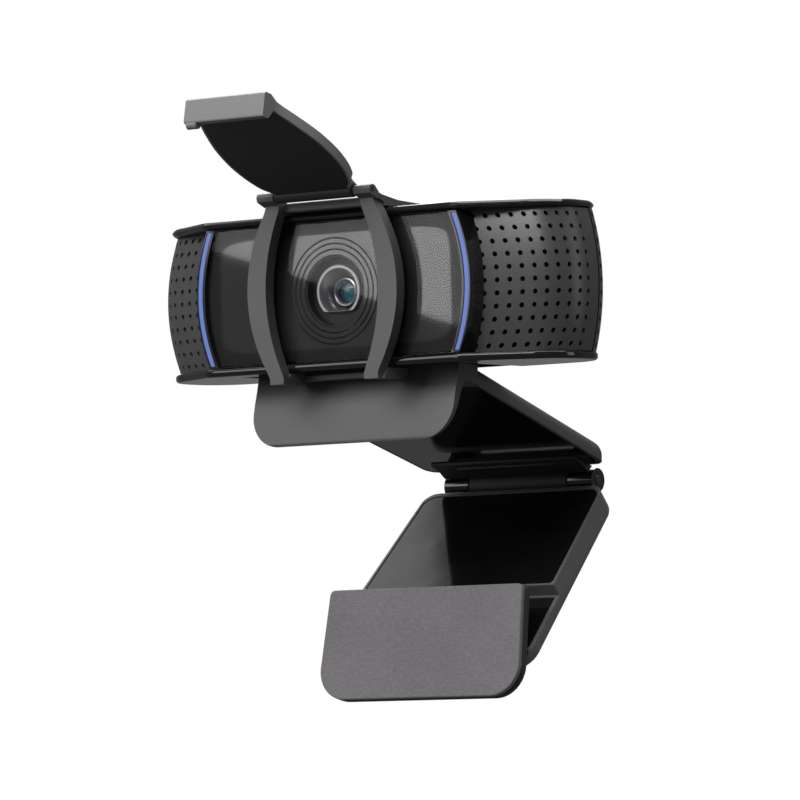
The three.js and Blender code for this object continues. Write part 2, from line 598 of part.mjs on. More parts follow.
const footPinHole = rodX(FOOT_PIN[0], FOOT_PIN[1], 1.0, -11.6, 11.6, 16);
const LOWER_SCREW_U = -12;
const lowerArm = cutBy(cutBy(lowerBlock, [upperHollow, lowerHollow, lowerRecess]).add(boss), [
  bossHole,
  knuckleGap,
  footPinHole,
  ...[-screwX, screwX].map((x) => lowerRod(x, LOWER_SCREW_U, 1.2, 60, BACK_V + 1)),
]);
piece(parts, "lower_arm", "shell", lowerArm);

// a rod standing square to the lower arm's floor
function lowerRod(x, u, r, v0, v1, sides = 20) {
  const geometry = new THREE.CylinderGeometry(r, r, v1 - v0, sides);
  geometry.rotateX(-Math.PI / 4);
  const [y, z] = at(u, (v0 + v1) / 2);
  geometry.translate(x, y, z);
  return solidOf(geometry);
}

const PANEL_V = WALL_V + 0.6; // the gloss panels lie just below the edges of the walls
const PANEL = 0.9;
const upperPanel = lowerSlab(-14.6, STEP_U - 1.6, LOWER_WALL + GAP, PANEL_V, PANEL_V + PANEL, 0.6);
piece(parts, "lower_arm_panel", "gloss", upperPanel);
const lowerPanel = lowerSlab(STEP_U + 0.7, 24.0, LOWER_WALL + GAP, STEP_V + 0.1, STEP_V + PANEL, 0.6);
piece(parts, "foot_bay_panel", "gloss", cutBy(lowerPanel, [
  alongX([at(22.3, 60), at(33, 60), at(33, 74), at(22.3, 74)], -8.4, 8.4),
]));
const insert = lowerRod(0, BOSS_U, 3.2, 66.6, BACK_V - 0.1).subtract(lowerRod(0, BOSS_U, 2.55, 60, 72));
piece(parts, "tripod_insert", "brass", insert);
for (const [name, side] of Object.entries(SIDES)) {
  const screw = lowerRod(side * screwX, LOWER_SCREW_U, 0.9, 69.6, BACK_V - 0.1, 12);
  piece(parts, `${name}_lower_screw`, "steel", screw);
}

const lowerLeaf = [[59.2, -32.6], [61.4, -32.6], [60.6, -35.8], [59.0, -38.2], [57.6, -36.8], [58.8, -35.2]];
for (const [name, side] of Object.entries(SIDES)) {
  const [x0, x1] = side < 0 ? [splitA + GAP / 2, splitB - GAP / 2] : [splitC + GAP / 2, splitD - GAP / 2];
  const knuckle = rodX(HINGE_Y, HINGE_Z, HINGE_R, x0, x1).add(alongX(lowerLeaf, x0, x1));
  piece(parts, `${name}_hinge_knuckle`, "gloss", knuckle.subtract(pinHole));
}
piece(parts, "foot_hinge_pin", "steel", rodX(FOOT_PIN[0], FOOT_PIN[1], 0.7, -11.2, 11.2, 12));

// ---- foot --------------------------------------------------------------------------------------------
// a sheet lying in the foot's leaning plane, between two depths behind its front face
function footSheet(front, back) {
  const cornerX = FOOT_END_HALF - FOOT_CORNER;
  const right = arcPoints(cornerX, -FOOT_HEIGHT + FOOT_CORNER, FOOT_CORNER, 0, Math.PI / 2, 5);
  right.push([FOOT_TOP_HALF, 0]);
  const outline = [...right, ...right.map(([x, z]) => [-x, z]).reverse()];
  const sheet = geometryOf(alongY(outline, front, back));
  sheet.rotateX(-FOOT_LEAN);
  sheet.translate(0, FOOT_TOP[0], FOOT_TOP[1]);
  return solidOf(sheet);
}
piece(parts, "foot_pad", "rubber", footSheet(0, PAD_THICK));
const plateFront = PAD_THICK + GAP;
const plate = footSheet(plateFront, plateFront + PLATE_THICK);
const knuckleSide = [
  [FOOT_PIN[0] - 2.6, FOOT_PIN[1] + 2.4], [FOOT_PIN[0] + 0.4, FOOT_PIN[1] + 1.4],
  [FOOT_PIN[0] + 0.4, FOOT_PIN[1] - 1.4], [FOOT_PIN[0] - 2.9, FOOT_PIN[1] - 2.4],
];
const carrier = joined([
  plate,
  alongX(knuckleSide, -FOOT_KNUCKLE_HALF, FOOT_KNUCKLE_HALF),
  rodX(FOOT_PIN[0], FOOT_PIN[1], FOOT_BARREL_R, -FOOT_KNUCKLE_HALF, FOOT_KNUCKLE_HALF),
]).subtract(rodX(FOOT_PIN[0], FOOT_PIN[1], 1.0, -30, 30, 16));
piece(parts, "foot_carrier", "soft_black", carrier);

// ---- the whole webcam, moved so that the origin is on the top arm's underside --------------------------
parts.position.set(0, -REST_Y, -underside(REST_Y));
const webcam = new THREE.Group();
webcam.add(parts);
webcam.updateMatrixWorld(true);

export default webcam;
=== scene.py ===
import json
import math

import bpy
from mathutils import Matrix, Vector


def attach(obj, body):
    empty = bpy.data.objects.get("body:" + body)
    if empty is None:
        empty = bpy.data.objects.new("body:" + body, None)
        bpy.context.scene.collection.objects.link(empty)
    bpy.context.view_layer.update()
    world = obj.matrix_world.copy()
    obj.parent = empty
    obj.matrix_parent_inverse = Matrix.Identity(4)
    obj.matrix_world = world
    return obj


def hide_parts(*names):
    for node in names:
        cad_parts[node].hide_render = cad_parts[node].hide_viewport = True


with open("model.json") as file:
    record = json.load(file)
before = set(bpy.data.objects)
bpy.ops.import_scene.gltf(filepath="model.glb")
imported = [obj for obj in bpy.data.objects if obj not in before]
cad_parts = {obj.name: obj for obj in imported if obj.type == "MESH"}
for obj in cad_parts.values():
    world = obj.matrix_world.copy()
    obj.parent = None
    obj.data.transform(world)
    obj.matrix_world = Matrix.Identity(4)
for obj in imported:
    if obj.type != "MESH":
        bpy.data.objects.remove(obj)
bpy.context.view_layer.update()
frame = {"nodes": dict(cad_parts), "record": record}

# ---- studio: camera, lights, floor and pale surround ---------------------------------------------
# A long lens from the right and a little below, as one looks up at a webcam on a monitor.
# Big soft boxes light it from above and from both sides; the room itself stays dim for the gloss.
camera = bpy.data.objects.new("camera", bpy.data.cameras.new("camera"))
bpy.context.scene.collection.objects.link(camera)
camera.location = (0.60361, -0.86502, -0.08942)
AIMED_AT = Vector((0.00804, -0.02449, 0.00273))
camera.rotation_euler = (AIMED_AT - camera.location).to_track_quat("-Z", "Y").to_euler()
camera.data.lens = 253
camera.data.sensor_width = 36
camera.data.clip_start = 0.01
bpy.context.scene.camera = camera


def soft_box(name, place, width, height, watts, across=None, up=None):
    """a rectangular studio light, aimed at the webcam unless its own two directions are given"""
    lamp = bpy.data.lights.new(name, "AREA")
    lamp.shape = "RECTANGLE"
    lamp.size = width
    lamp.size_y = height
    lamp.energy = watts
    holder = bpy.data.objects.new(name, lamp)
    bpy.context.scene.collection.objects.link(holder)
    turn = (-Vector(place)).to_track_quat("-Z", "Y").to_matrix()
    if across:
        turn = Matrix((across, up, Vector(across).cross(Vector(up)))).transposed()
    holder.matrix_world = Matrix.Translation(place) @ turn.to_4x4()


# the key's lower edge is tilted, and shows as a slanting line in the window
soft_box("key", (-0.464, -0.85, 0.489), 0.7, 0.9, 7, (0.953, 0, -0.302), (0.302, 0, 0.953))
soft_box("front_top", (0.08, -0.92, 0.62), 0.8, 0.4, 9)
soft_box("overhead", (0.05, 0.1, 0.95), 1.1, 0.8, 12)
soft_box("upper_left", (-1.05, 0.1, 1.0), 0.65, 0.9, 2.6, (1, 0, 0), (0, 1, 0))
soft_box("right_strip", (1.0, 0.3, 0.2), 0.3, 0.8, 1.4)
soft_box("back_left", (-0.6, 0.8, 0.7), 0.5, 0.5, 4)

world = bpy.data.worlds.new("room")
world.use_nodes = True
world.node_tree.nodes["Background"].inputs["Color"].default_value = (0.18, 0.18, 0.182, 1)
bpy.context.scene.world = world
bpy.context.scene.view_settings.view_transform = "Standard"

FLOOR_HEIGHT = -0.125
bpy.ops.object.select_all(action="DESELECT")
bpy.ops.mesh.primitive_plane_add(size=9, location=(0, 0, 0))
floor = bpy.context.object
floor.name = "floor"
floor.data.transform(Matrix.Translation((0, 0, FLOOR_HEIGHT)))
pale = bpy.data.materials.new("floor_paint")
pale.use_nodes = True
pale.node_tree.nodes["Principled BSDF"].inputs["Base Color"].default_value = (0.84, 0.84, 0.84, 1)
pale.node_tree.nodes["Principled BSDF"].inputs["Roughness"].default_value = 0.9
floor.data.materials.append(pale)
floor.visible_diffuse = False
floor.visible_glossy = False

bpy.ops.mesh.primitive_uv_sphere_add(segments=48, ring_count=24, radius=4.4)
surround = bpy.context.object
surround.name = "surround"
white = bpy.data.materials.new("surround_paper")
white.use_nodes = True
paper = white.node_tree.nodes["Principled BSDF"]
paper.inputs["Base Color"].default_value = (0, 0, 0, 1)
paper.inputs["Specular IOR Level"].default_value = 0
paper.inputs["Emission Color"].default_value = (1, 1, 1, 1)
paper.inputs["Emission Strength"].default_value = 1.0
surround.data.materials.append(white)
surround.visible_diffuse = False
surround.visible_glossy = False
surround.visible_shadow = False

# ---- rear shell of the head ----------------------------------------------------------------------
# The back half of the casing: a thin piano-black ABS moulding that wraps round both bowed ends.
# Two columns of sound holes carry on round each end. Shapes are in millimetres, materials in metres.
MM = 0.001
TO_ROW = Matrix.Scale(MM, 4) @ Matrix.Translation((0, -33, 22.61))
HEAD_FRAME = TO_ROW @ Matrix.Rotation(math.radians(2.7), 4, "X")
FACE_FORWARD = 1.8  # how far the window stands in front of the grilles' plane
FACE_FRAME = HEAD_FRAME @ Matrix.Translation((0, -FACE_FORWARD, 0))
SIDES = ((-1, "left"), (1, "right"))

# the head's outline from above: a flat face, wings that sweep back, and two radii round each end
FACE_HALF, FACE_Y, SWEEP = 28.6, -0.7, math.radians(20)
END_Y, FRONT_END_R, REAR_END_R = 13.0, 10.3, 8.0
# from the front: the ends bulge between the two rails, which are narrower and carry the covers
END_HALF, END_BULGE, RAIL_HALF = 47.8, 2.0, 45.2
RAIL_INNER, RAIL_OUTER = 13.0, 14.5
# the perforated skin lies behind the outline, and its seam with the shell is past the widest point
SET_BACK, PAST_WIDEST, SEAM_GAP = 0.9, 3.2, 0.35
# the lit arcs beside the window, where the grilles begin
ARC_END_X, ARC_BULGE = 27.4, 2.8
HOLE_R, COLUMN_STEP, ROW_STEP, ROWS = 0.47, 1.2, 1.15, 11
SHEET_HALF = 12.65  # half the height of all the rows


class Tone:
    """a node's output; Python's operators on it add the nodes for the sum"""

    def __init__(self, tree, output):
        self.tree = tree
        self.output = output

    def node(self, kind, settings=None, sockets=None, output=0):
        made = self.tree.nodes.new(kind)
        for key, value in (settings or {}).items():
            if key == "stops":
                ramp = made.color_ramp
                while len(ramp.elements) < len(value):
                    ramp.elements.new(0.5)
                for element, (place, colour) in zip(ramp.elements, value):
                    element.position = place
                    element.color = (*colour, 1)
            else:
                setattr(made, key, value)
        for key, value in (sockets or {}).items():
            if isinstance(value, Tone):
                self.tree.links.new(value.output, made.inputs[key])
            else:
                made.inputs[key].default_value = value
        return Tone(self.tree, made.outputs[output])

    def maths(self, operation, *values):
        return self.node("ShaderNodeMath", {"operation": operation}, dict(enumerate(values)))

    def __add__(self, other):
        return self.maths("ADD", self, other)

    def __rsub__(self, other):
        return self.maths("SUBTRACT", other, self)

    def __mul__(self, other):
        return self.maths("MULTIPLY", self, other)

    def step(self, low, high):
        """0 below low, 1 above high, and a smooth rise between"""
        settings = {"interpolation_type": "SMOOTHSTEP"}
        return self.node("ShaderNodeMapRange", settings, {"Value": self, 1: low, 2: high})

    def between(self, first, second):
        """a colour that goes from the first to the second as this goes from 0 to 1"""
        first, second = [c if isinstance(c, Tone) else (*c, 1) for c in (first, second)]
        sockets = {"Factor": self, 6: first, 7: second}
        return self.node("ShaderNodeMix", {"data_type": "RGBA"}, sockets, 2)


def new_finish(name, **constants):
    """a material, its shader, and a first tone: the place on the object, in metres"""
    material = bpy.data.materials.new(name)
    material.use_nodes = True
    shader = material.node_tree.nodes["Principled BSDF"]
    for key, value in constants.items():
        shader.inputs[key.replace("_", " ")].default_value = value
    place = Tone(material.node_tree, None).node("ShaderNodeTexCoord", output="Object")
    return material, shader, place


def mottle(place, scale, detail=2.0, roughness=0.5):
    """soft random mottling, scale is in cycles per metre"""
    sockets = {"Vector": place, "Scale": scale, "Detail": detail, "Roughness": roughness}
    return place.node("ShaderNodeTexNoise", {}, sockets)


def feed(shader, socket, tone):
    """links a tone to one of the shader's own sockets"""
    tone.tree.links.new(tone.output, shader.inputs[socket])


def grained(shader, height, depth, strength):
    """raises the surface by a height tone, depth in metres"""
    sockets = {"Height": height, "Distance": depth, "Strength": strength}
    feed(shader, "Normal", height.node("ShaderNodeBump", {}, sockets))


def piano_black(name, level=0.004):
    """polished black ABS, with the faint haze that a handled gloss part has"""
    material, shader, place = new_finish(name, IOR=1.49)
    haze = mottle(place, 90, 3)
    fine = mottle(place, 2600, 2)
    feed(shader, "Base Color", haze.between((level, level, level * 1.06), (level * 1.7,) * 3))
    feed(shader, "Roughness", haze.step(0.35, 0.75) * 0.05 + fine * 0.02 + 0.05)
    grained(shader, mottle(place, 140, 1), 0.00002, 0.35)
    return material


gloss_black = piano_black("piano_black")


def outline_at(run, half, inset=0.0):
    """place and outward direction on the head's outline, a distance round it from its front middle"""
    start = Vector((FACE_HALF, FACE_Y))
    turn = Vector((math.sin(SWEEP), -math.cos(SWEEP)))
    wing = Vector((half - FRONT_END_R, END_Y)) + FRONT_END_R * turn - start
    legs = [FACE_HALF, wing.length, FRONT_END_R * (math.pi / 2 - SWEEP)]
    legs += [FRONT_END_R - REAR_END_R, REAR_END_R * math.pi / 2]
    if run < legs[0]:
        place, out = Vector((run, FACE_Y)), Vector((0, -1))
    elif run < sum(legs[:2]):
        place = start + wing * (run - legs[0]) / legs[1]
        out = Vector((wing.y, -wing.x)).normalized()
    elif run < sum(legs[:3]):
        angle = SWEEP + (run - sum(legs[:2])) / FRONT_END_R
        out = Vector((math.sin(angle), -math.cos(angle)))
        place = Vector((half - FRONT_END_R, END_Y)) + FRONT_END_R * out
    elif run < sum(legs[:4]):
        place, out = Vector((half, END_Y + run - sum(legs[:3]))), Vector((1, 0))
    elif run < sum(legs):
        angle = math.pi / 2 + (run - sum(legs[:4])) / REAR_END_R
        out = Vector((math.sin(angle), -math.cos(angle)))
        place = Vector((half - REAR_END_R, END_Y + FRONT_END_R - REAR_END_R)) + REAR_END_R * out
    else:
        rear_x = half - REAR_END_R - (run - sum(legs))
        place, out = Vector((rear_x, END_Y + FRONT_END_R)), Vector((0, 1))
    return place - inset * out, out


def half_at(z):
    """half width of the head's end at a height"""
    return END_HALF - END_BULGE * (z / RAIL_INNER) ** 2


def seam_run(z):
    """how far round the outline the grilles end"""
    wing_x = half_at(z) - FRONT_END_R * (1 - math.sin(SWEEP)) - FACE_HALF
    wing_y = END_Y - FRONT_END_R * math.cos(SWEEP) - FACE_Y
    round_end = FRONT_END_R * (math.pi / 2 - SWEEP)
    return FACE_HALF + math.hypot(wing_x, wing_y) + round_end + PAST_WIDEST


def run_to_rear(z):
    """how far round the outline the middle of the back is"""
    rear = FRONT_END_R - REAR_END_R + REAR_END_R * math.pi / 2 + half_at(z) - REAR_END_R
    return seam_run(z) - PAST_WIDEST + rear


def alone(piece):
    """makes one piece the only selected and active one"""
    bpy.ops.object.select_all(action="DESELECT")
    piece.select_set(True)
    bpy.context.view_layer.objects.active = piece


def clear_bench():
    """leaves nothing selected, so that the next piece starts on its own"""
    alone(floor)
    bpy.ops.object.select_all(action="DESELECT")


def finished(piece, kind, **settings):
    """adds one modifier to a piece and applies it"""
    alone(piece)
    modifier = piece.modifiers.new("work", kind)
    for key, value in settings.items():
        setattr(modifier, key, value)
    bpy.ops.object.modifier_apply(modifier="work")
    return piece


def smoothed(piece, degrees=32):
    """shades a piece smooth up to an angle, with its flat parts left flat"""
    alone(piece)
    bpy.ops.object.shade_smooth_by_angle(angle=math.radians(degrees))
    return finished(piece, "WEIGHTED_NORMAL", keep_sharp=True)


def eased(piece, width, segments=3, degrees=38):
    """rounds a piece's edges, as a mould or a file leaves them"""
    limit = math.radians(degrees)
    finished(piece, "BEVEL", width=width, segments=segments, limit_method="ANGLE", angle_limit=limit)
    return smoothed(piece)


def cut(piece, cutter, operation="DIFFERENCE"):
    """takes a cutter's shape out of a piece, or keeps only what they share"""
    finished(piece, "BOOLEAN", object=cutter, operation=operation, solver="EXACT")
    bpy.data.objects.remove(cutter)
    return piece


def settled(piece, place, body, slot, material, *nodes):
    """puts a piece drawn in millimetres where it belongs on the webcam, and gives it its finish"""
    piece.data.transform(place)
    piece.data.materials.clear()
    piece.data.materials.append(material)
    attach(piece, body)
    if nodes:
        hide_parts(*nodes)
    return piece


def punched_sheet(name, columns, hole_columns):
    """a flat sheet with rows of round holes, one grid line to each hole and one between"""
    clear_bench()
    bpy.ops.mesh.primitive_grid_add(x_subdivisions=columns, y_subdivisions=2 * ROWS, size=2)
    sheet = bpy.context.object
    sheet.name = sheet.data.name = name
    for vertex in sheet.data.vertices:
        vertex.co.x = (vertex.co.x + 1) / 2 * columns * COLUMN_STEP
        vertex.co.y = (vertex.co.y + 1) / 2 * 2 * ROWS * ROW_STEP
    bpy.ops.object.mode_set(mode="EDIT")
    bpy.ops.mesh.select_mode(type="VERT")
    bpy.ops.mesh.select_all(action="DESELECT")
    bpy.ops.object.mode_set(mode="OBJECT")
    for vertex in sheet.data.vertices:
        column = round(vertex.co.x / COLUMN_STEP)
        row = round(vertex.co.y / ROW_STEP)
        vertex.select = column in hole_columns and row % 2 == 1
    bpy.ops.object.mode_set(mode="EDIT")
    bpy.ops.mesh.bevel(affect="VERTICES", offset=HOLE_R, segments=3, profile=0.077)
    bpy.ops.mesh.select_all(action="DESELECT")
    bpy.ops.mesh.select_mode(type="FACE")
    bpy.ops.object.mode_set(mode="OBJECT")
    for face in sheet.data.polygons:
        x, y = face.center.x, face.center.y
        column = min(hole_columns, key=lambda c: abs(x - c * COLUMN_STEP), default=-9)
        row = 2 * math.floor(y / ROW_STEP / 2) + 1
        reach = math.hypot(x - column * COLUMN_STEP, y - row * ROW_STEP)
        face.select = reach < 0.98 * HOLE_R
    bpy.ops.object.mode_set(mode="EDIT")
    bpy.ops.mesh.delete(type="FACE")
    bpy.ops.object.mode_set(mode="OBJECT")
    return sheet


REAR_COLUMNS = 84
rear_shell = punched_sheet("rear_shell", REAR_COLUMNS, {1, 3, REAR_COLUMNS - 3, REAR_COLUMNS - 1})
for vertex in rear_shell.data.vertices:
    share = vertex.co.x / COLUMN_STEP / REAR_COLUMNS
    z = vertex.co.y - ROWS * ROW_STEP
    side = 1 if share <= 0.5 else -1
    along = 2 * min(share, 1 - share)
    first = seam_run(z) + SEAM_GAP
    place, out = outline_at(first + (run_to_rear(z) - first) * along, half_at(z), SET_BACK)
    vertex.co = (side * place.x, place.y, z * 13.1 / SHEET_HALF)
finished(rear_shell, "SOLIDIFY", thickness=1.2, offset=-1)
settled(smoothed(rear_shell), HEAD_FRAME, "head", "gloss", gloss_black, "rear_housing")

# ---- top and bottom covers -----------------------------------------------------------------------
# Two gloss plates close the casing above and below; their rounded edges stand out as rails
# in front of the grilles. The lower one is cut away behind for the clip.
def plate(name, outline, view, low, high):
    """a flat piece cut from an outline seen from the top (x, y), the front (x, z) or the side (y, z)"""
    clear_bench()
    bpy.ops.mesh.primitive_circle_add(vertices=len(outline), radius=1, fill_type="NGON")
    piece = bpy.context.object
    piece.name = piece.data.name = name
    places = {
        "top": lambda a, b: (a, b, low),
        "front": lambda a, b: (a, low, b),
        "side": lambda a, b: (low, a, b),
    }
    for vertex, (a, b) in zip(piece.data.vertices, outline):
        vertex.co = places[view](a, b)
    deep = high - low
    push = {"top": (0, 0, deep), "front": (0, deep, 0), "side": (deep, 0, 0)}[view]
    bpy.ops.object.mode_set(mode="EDIT")
    bpy.ops.mesh.select_all(action="SELECT")
    bpy.ops.mesh.extrude_region_move(TRANSFORM_OT_translate={"value": push})
    bpy.ops.mesh.select_all(action="SELECT")
    bpy.ops.mesh.normals_make_consistent(inside=False)
    bpy.ops.object.mode_set(mode="OBJECT")
    return piece


def mirrored(points):
    """an outline's right half, closed by its mirror image"""
    return points + [(-x, y) for x, y in reversed(points)]


def arc(cx, cy, r, start, end, steps=8):
    """points on an arc; the angles are in degrees from straight down towards +X"""
    angles = [math.radians(start + (end - start) * i / steps) for i in range(steps + 1)]
    return [(cx + r * math.sin(a), cy - r * math.cos(a)) for a in angles]


REAR_Y = END_Y + FRONT_END_R
RAIL_Y = FACE_Y - FACE_FORWARD
rail_half = [
    (FACE_HALF - 1.6, RAIL_Y), (FACE_HALF - 0.4, RAIL_Y + 0.06), (FACE_HALF + 0.9, RAIL_Y + 0.42),
    *arc(RAIL_HALF - FRONT_END_R, END_Y, FRONT_END_R, 20, 90, 12),
    *arc(RAIL_HALF - REAR_END_R, REAR_Y - REAR_END_R, REAR_END_R, 98, 180, 11),
]
top_cover = plate("top_cover", mirrored(rail_half), "top", RAIL_INNER, RAIL_OUTER)
finished(top_cover, "BEVEL", width=0.74, segments=6, profile=0.36, limit_method="ANGLE")
settled(smoothed(top_cover), HEAD_FRAME, "head", "gloss", gloss_black)
CLIP_HALF, CLIP_FRONT = 24.6, 3.9
notch = [(CLIP_HALF, REAR_Y), (CLIP_HALF, CLIP_FRONT)]
bottom_cover = plate("bottom_cover", mirrored(rail_half + notch), "top", -RAIL_OUTER, -RAIL_INNER)
settled(eased(bottom_cover, 0.6, 5), HEAD_FRAME, "head", "gloss", gloss_black)

# ---- recess for the clip -------------------------------------------------------------------------
# A shallow tray moulded under the head: the folded clip lies in it, and the neck passes through it.
RECESS_PLACE, RECESS_SIZE = (0, 12.9, -12.75), (51.0, 19.8, 3.0)
bpy.ops.object.select_all(action="DESELECT")
bpy.ops.mesh.primitive_cube_add(size=1)
clip_recess = bpy.context.object
clip_recess.name = clip_recess.data.name = "clip_recess"
clip_recess.data.transform(Matrix.Translation(RECESS_PLACE) @ Matrix.Diagonal((*RECESS_SIZE, 1)))
bpy.ops.object.mode_set(mode="EDIT")
bpy.ops.mesh.select_mode(type="FACE")
bpy.ops.mesh.select_all(action="DESELECT")
bpy.ops.object.mode_set(mode="OBJECT")
for face in clip_recess.data.polygons:
    face.select = face.normal.z < -0.9
bpy.ops.object.mode_set(mode="EDIT")
bpy.ops.mesh.inset(thickness=0.9)
bpy.ops.mesh.extrude_region_move(TRANSFORM_OT_translate={"value": (0, 0, 1.9)})
bpy.ops.object.mode_set(mode="OBJECT")
neck_slot = plate("neck_slot", [(-5, 5.0), (5, 5.0), (5, 13.2), (-5, 13.2)], "top", -16, -8)
cut(clip_recess, neck_slot)
settled(eased(clip_recess, 0.2, 2), HEAD_FRAME, "head", "gloss", gloss_black)

# ---- grilles -------------------------------------------------------------------------------------
# A satin dark-grey moulding on each side of the window, wrapped round the end of the head.
# Eleven rows of small round holes let sound in to the microphone; black cloth lies behind them.
def satin_grey(name, low, high, rough):
    """moulded ABS with a fine spark-eroded grain"""
    material, shader, place = new_finish(name, IOR=1.5)
    grain = mottle(place, 3400, 3, 0.6)
    cloud = mottle(place, 45, 2)
    feed(shader, "Base Color", (grain * 0.6 + cloud * 0.4).step(0.3, 0.7).between(low, high))
    feed(shader, "Roughness", grain * 0.14 + (rough - 0.07))
    grained(shader, grain, 0.00003, 0.55)
    return material


grille_grey = satin_grey("grille_grey", (0.040, 0.0395, 0.041), (0.052, 0.0515, 0.053), 0.36)
cloth_black, cloth_shader, cloth_place = new_finish("acoustic_cloth", Roughness=0.95)
feed(cloth_shader, "Base Color", mottle(cloth_place, 4000).between((0.001,) * 3, (0.006,) * 3))


def guide_x(z, offset=0.0):
    """middle line of a lit arc beside the window, at a height"""
    return ARC_END_X + ARC_BULGE * (1 - (z / RAIL_INNER) ** 2) + offset


GRILLE_COLUMNS = 20
CROWN = 1.15  # how far the sheet's top and bottom lie back beside the window
for side, name in SIDES:
    grille = punched_sheet(f"{name}_grille_shell", GRILLE_COLUMNS, range(1, GRILLE_COLUMNS, 2))
    cloth = punched_sheet(f"{name}_acoustic_cloth", GRILLE_COLUMNS, ())
    for sheet, inset in ((grille, SET_BACK), (cloth, SET_BACK + 1.5)):
        for vertex in sheet.data.vertices:
            column = vertex.co.x / COLUMN_STEP
            z = vertex.co.y - ROWS * ROW_STEP
            run = guide_x(z, 2.1 + COLUMN_STEP * (column - 1))
            if column < 0.3:
                run = guide_x(z, 1.35)
            elif column > GRILLE_COLUMNS - 0.3:
                run = seam_run(z) - 0.1
            crown = CROWN * (z / SHEET_HALF) ** 2 * (1 - (column / GRILLE_COLUMNS) ** 3)
            place, out = outline_at(run, half_at(z), inset + crown)
            vertex.co = (side * place.x, place.y, z * RAIL_INNER / SHEET_HALF)
        if side < 0:
            alone(sheet)
            bpy.ops.object.mode_set(mode="EDIT")
            bpy.ops.mesh.select_all(action="SELECT")
            bpy.ops.mesh.flip_normals()
            bpy.ops.object.mode_set(mode="OBJECT")
    finished(grille, "SOLIDIFY", thickness=1.1, offset=-1)
    finished(cloth, "SOLIDIFY", thickness=0.3, offset=-1)
    settled(smoothed(grille), HEAD_FRAME, "head", "grille", grille_grey, f"{name}_grille")
    settled(smoothed(cloth), HEAD_FRAME, "head", "soft_black", cloth_black)

# ---- window --------------------------------------------------------------------------------------
# One polished pane of smoked acrylic with bowed sides covers the lens and the printed plate.
# It is set between the covers, its face just behind theirs.
def face_outline(offset, half_height, steps=28):
    """the window's outline seen from the front, its sides moved out by an offset"""
    heights = [-half_height + 2 * half_height * i / steps for i in range(steps + 1)]
    return mirrored([(guide_x(z, offset), z) for z in heights])


smoked, smoked_shader, smoked_place = new_finish("smoked_acrylic", IOR=1.6, Alpha=0.16, Roughness=0.02)
smear = mottle(smoked_place, 70, 2)
feed(smoked_shader, "Base Color", smear.between((0.001, 0.001, 0.001), (0.004, 0.004, 0.004)))
window_pane = plate("window_pane", face_outline(-1.15, 12.75), "front", 0, 0.6)
settled(eased(window_pane, 0.12, 2), FACE_FRAME, "head", "window", smoked, "window")

# ---- printed plate behind the window -------------------------------------------------------------
# A satin black plate with a dark grey printed field, its corners rounded, inside a black border.
# Three fine grooves run round the lens opening.
LENS_PLATE_R, PRINT_Y = 10.4, 0.8
FIELD_HALF_WIDTH, FIELD_HALF_HEIGHT, CORNER_POWER = 0.0262, 0.0106, 9
printed, printed_shader, printed_place = new_finish("printed_plate", IOR=1.45)
mapping_sockets = {"Vector": printed_place, "Location": (0, 0.033, -0.02261)}
centred = printed_place.node("ShaderNodeMapping", {}, mapping_sockets)
across = centred.node("ShaderNodeSeparateXYZ", {}, {0: centred}, "X")
upright = centred.node("ShaderNodeSeparateXYZ", {}, {0: centred}, "Z")
out_share = across.maths("ABSOLUTE", across) * (1 / FIELD_HALF_WIDTH)
up_share = upright.maths("ABSOLUTE", upright) * (1 / FIELD_HALF_HEIGHT)
far_out = across.maths("POWER", out_share, CORNER_POWER)
far_up = upright.maths("POWER", up_share, CORNER_POWER)
field = 1 - (far_out + far_up).step(0.8, 1.1)
print_grain = mottle(centred, 2500, 2)
border_tone = print_grain.between((0.006,) * 3, (0.009,) * 3)
field_tone = print_grain.between((0.018, 0.0175, 0.0185), (0.023, 0.0225, 0.0235))
feed(printed_shader, "Base Color", field.between(border_tone, field_tone))
feed(printed_shader, "Roughness", print_grain * 0.1 + 0.42)
feed(printed_shader, "Coat Weight", field)
printed_shader.inputs["Coat Roughness"].default_value = 0.03
printed_shader.inputs["Coat IOR"].default_value = 1.75
printed_shader.inputs["Specular IOR Level"].default_value = 0.25


def bored(piece, r, depth, sides):
    """bores a round hole through a piece, along the lens axis"""
    clear_bench()
    lying = (math.pi / 2, 0, 0)
    bpy.ops.mesh.primitive_cylinder_add(vertices=sides, radius=r, depth=depth, rotation=lying)
    bpy.ops.object.transform_apply(location=True, rotation=True, scale=True)
    return cut(piece, bpy.context.object)


printed_plate = plate("printed_plate", face_outline(-1.2, 12.5), "front", PRINT_Y, PRINT_Y + 1)
bored(printed_plate, LENS_PLATE_R, 6, 96)
settled(smoothed(printed_plate), FACE_FRAME, "head", "backing", printed, "window_backing")


def turned(name, profile, steps=64, centre=(0, 0)):
    """a ring or disc from a closed (radius, depth) loop, turned about the lens axis or one beside it"""
    clear_bench()
    bpy.ops.mesh.primitive_circle_add(vertices=len(profile), radius=1)
    piece = bpy.context.object
    piece.name = piece.data.name = name
    for vertex, (r, y) in zip(piece.data.vertices, profile):
        vertex.co = (r, y, 0)
    bpy.ops.object.mode_set(mode="EDIT")
    bpy.ops.mesh.select_all(action="SELECT")
    bpy.ops.mesh.spin(steps=steps, angle=2 * math.pi, center=(0, 0, 0), axis=(0, 1, 0))
    bpy.ops.mesh.select_all(action="SELECT")
    bpy.ops.mesh.remove_doubles(threshold=0.001)
    bpy.ops.mesh.dissolve_degenerate(threshold=0.0001)
    bpy.ops.mesh.normals_make_consistent(inside=False)
    bpy.ops.object.mode_set(mode="OBJECT")
    piece.data.transform(Matrix.Translation((centre[0], 0, centre[1])))
    return piece


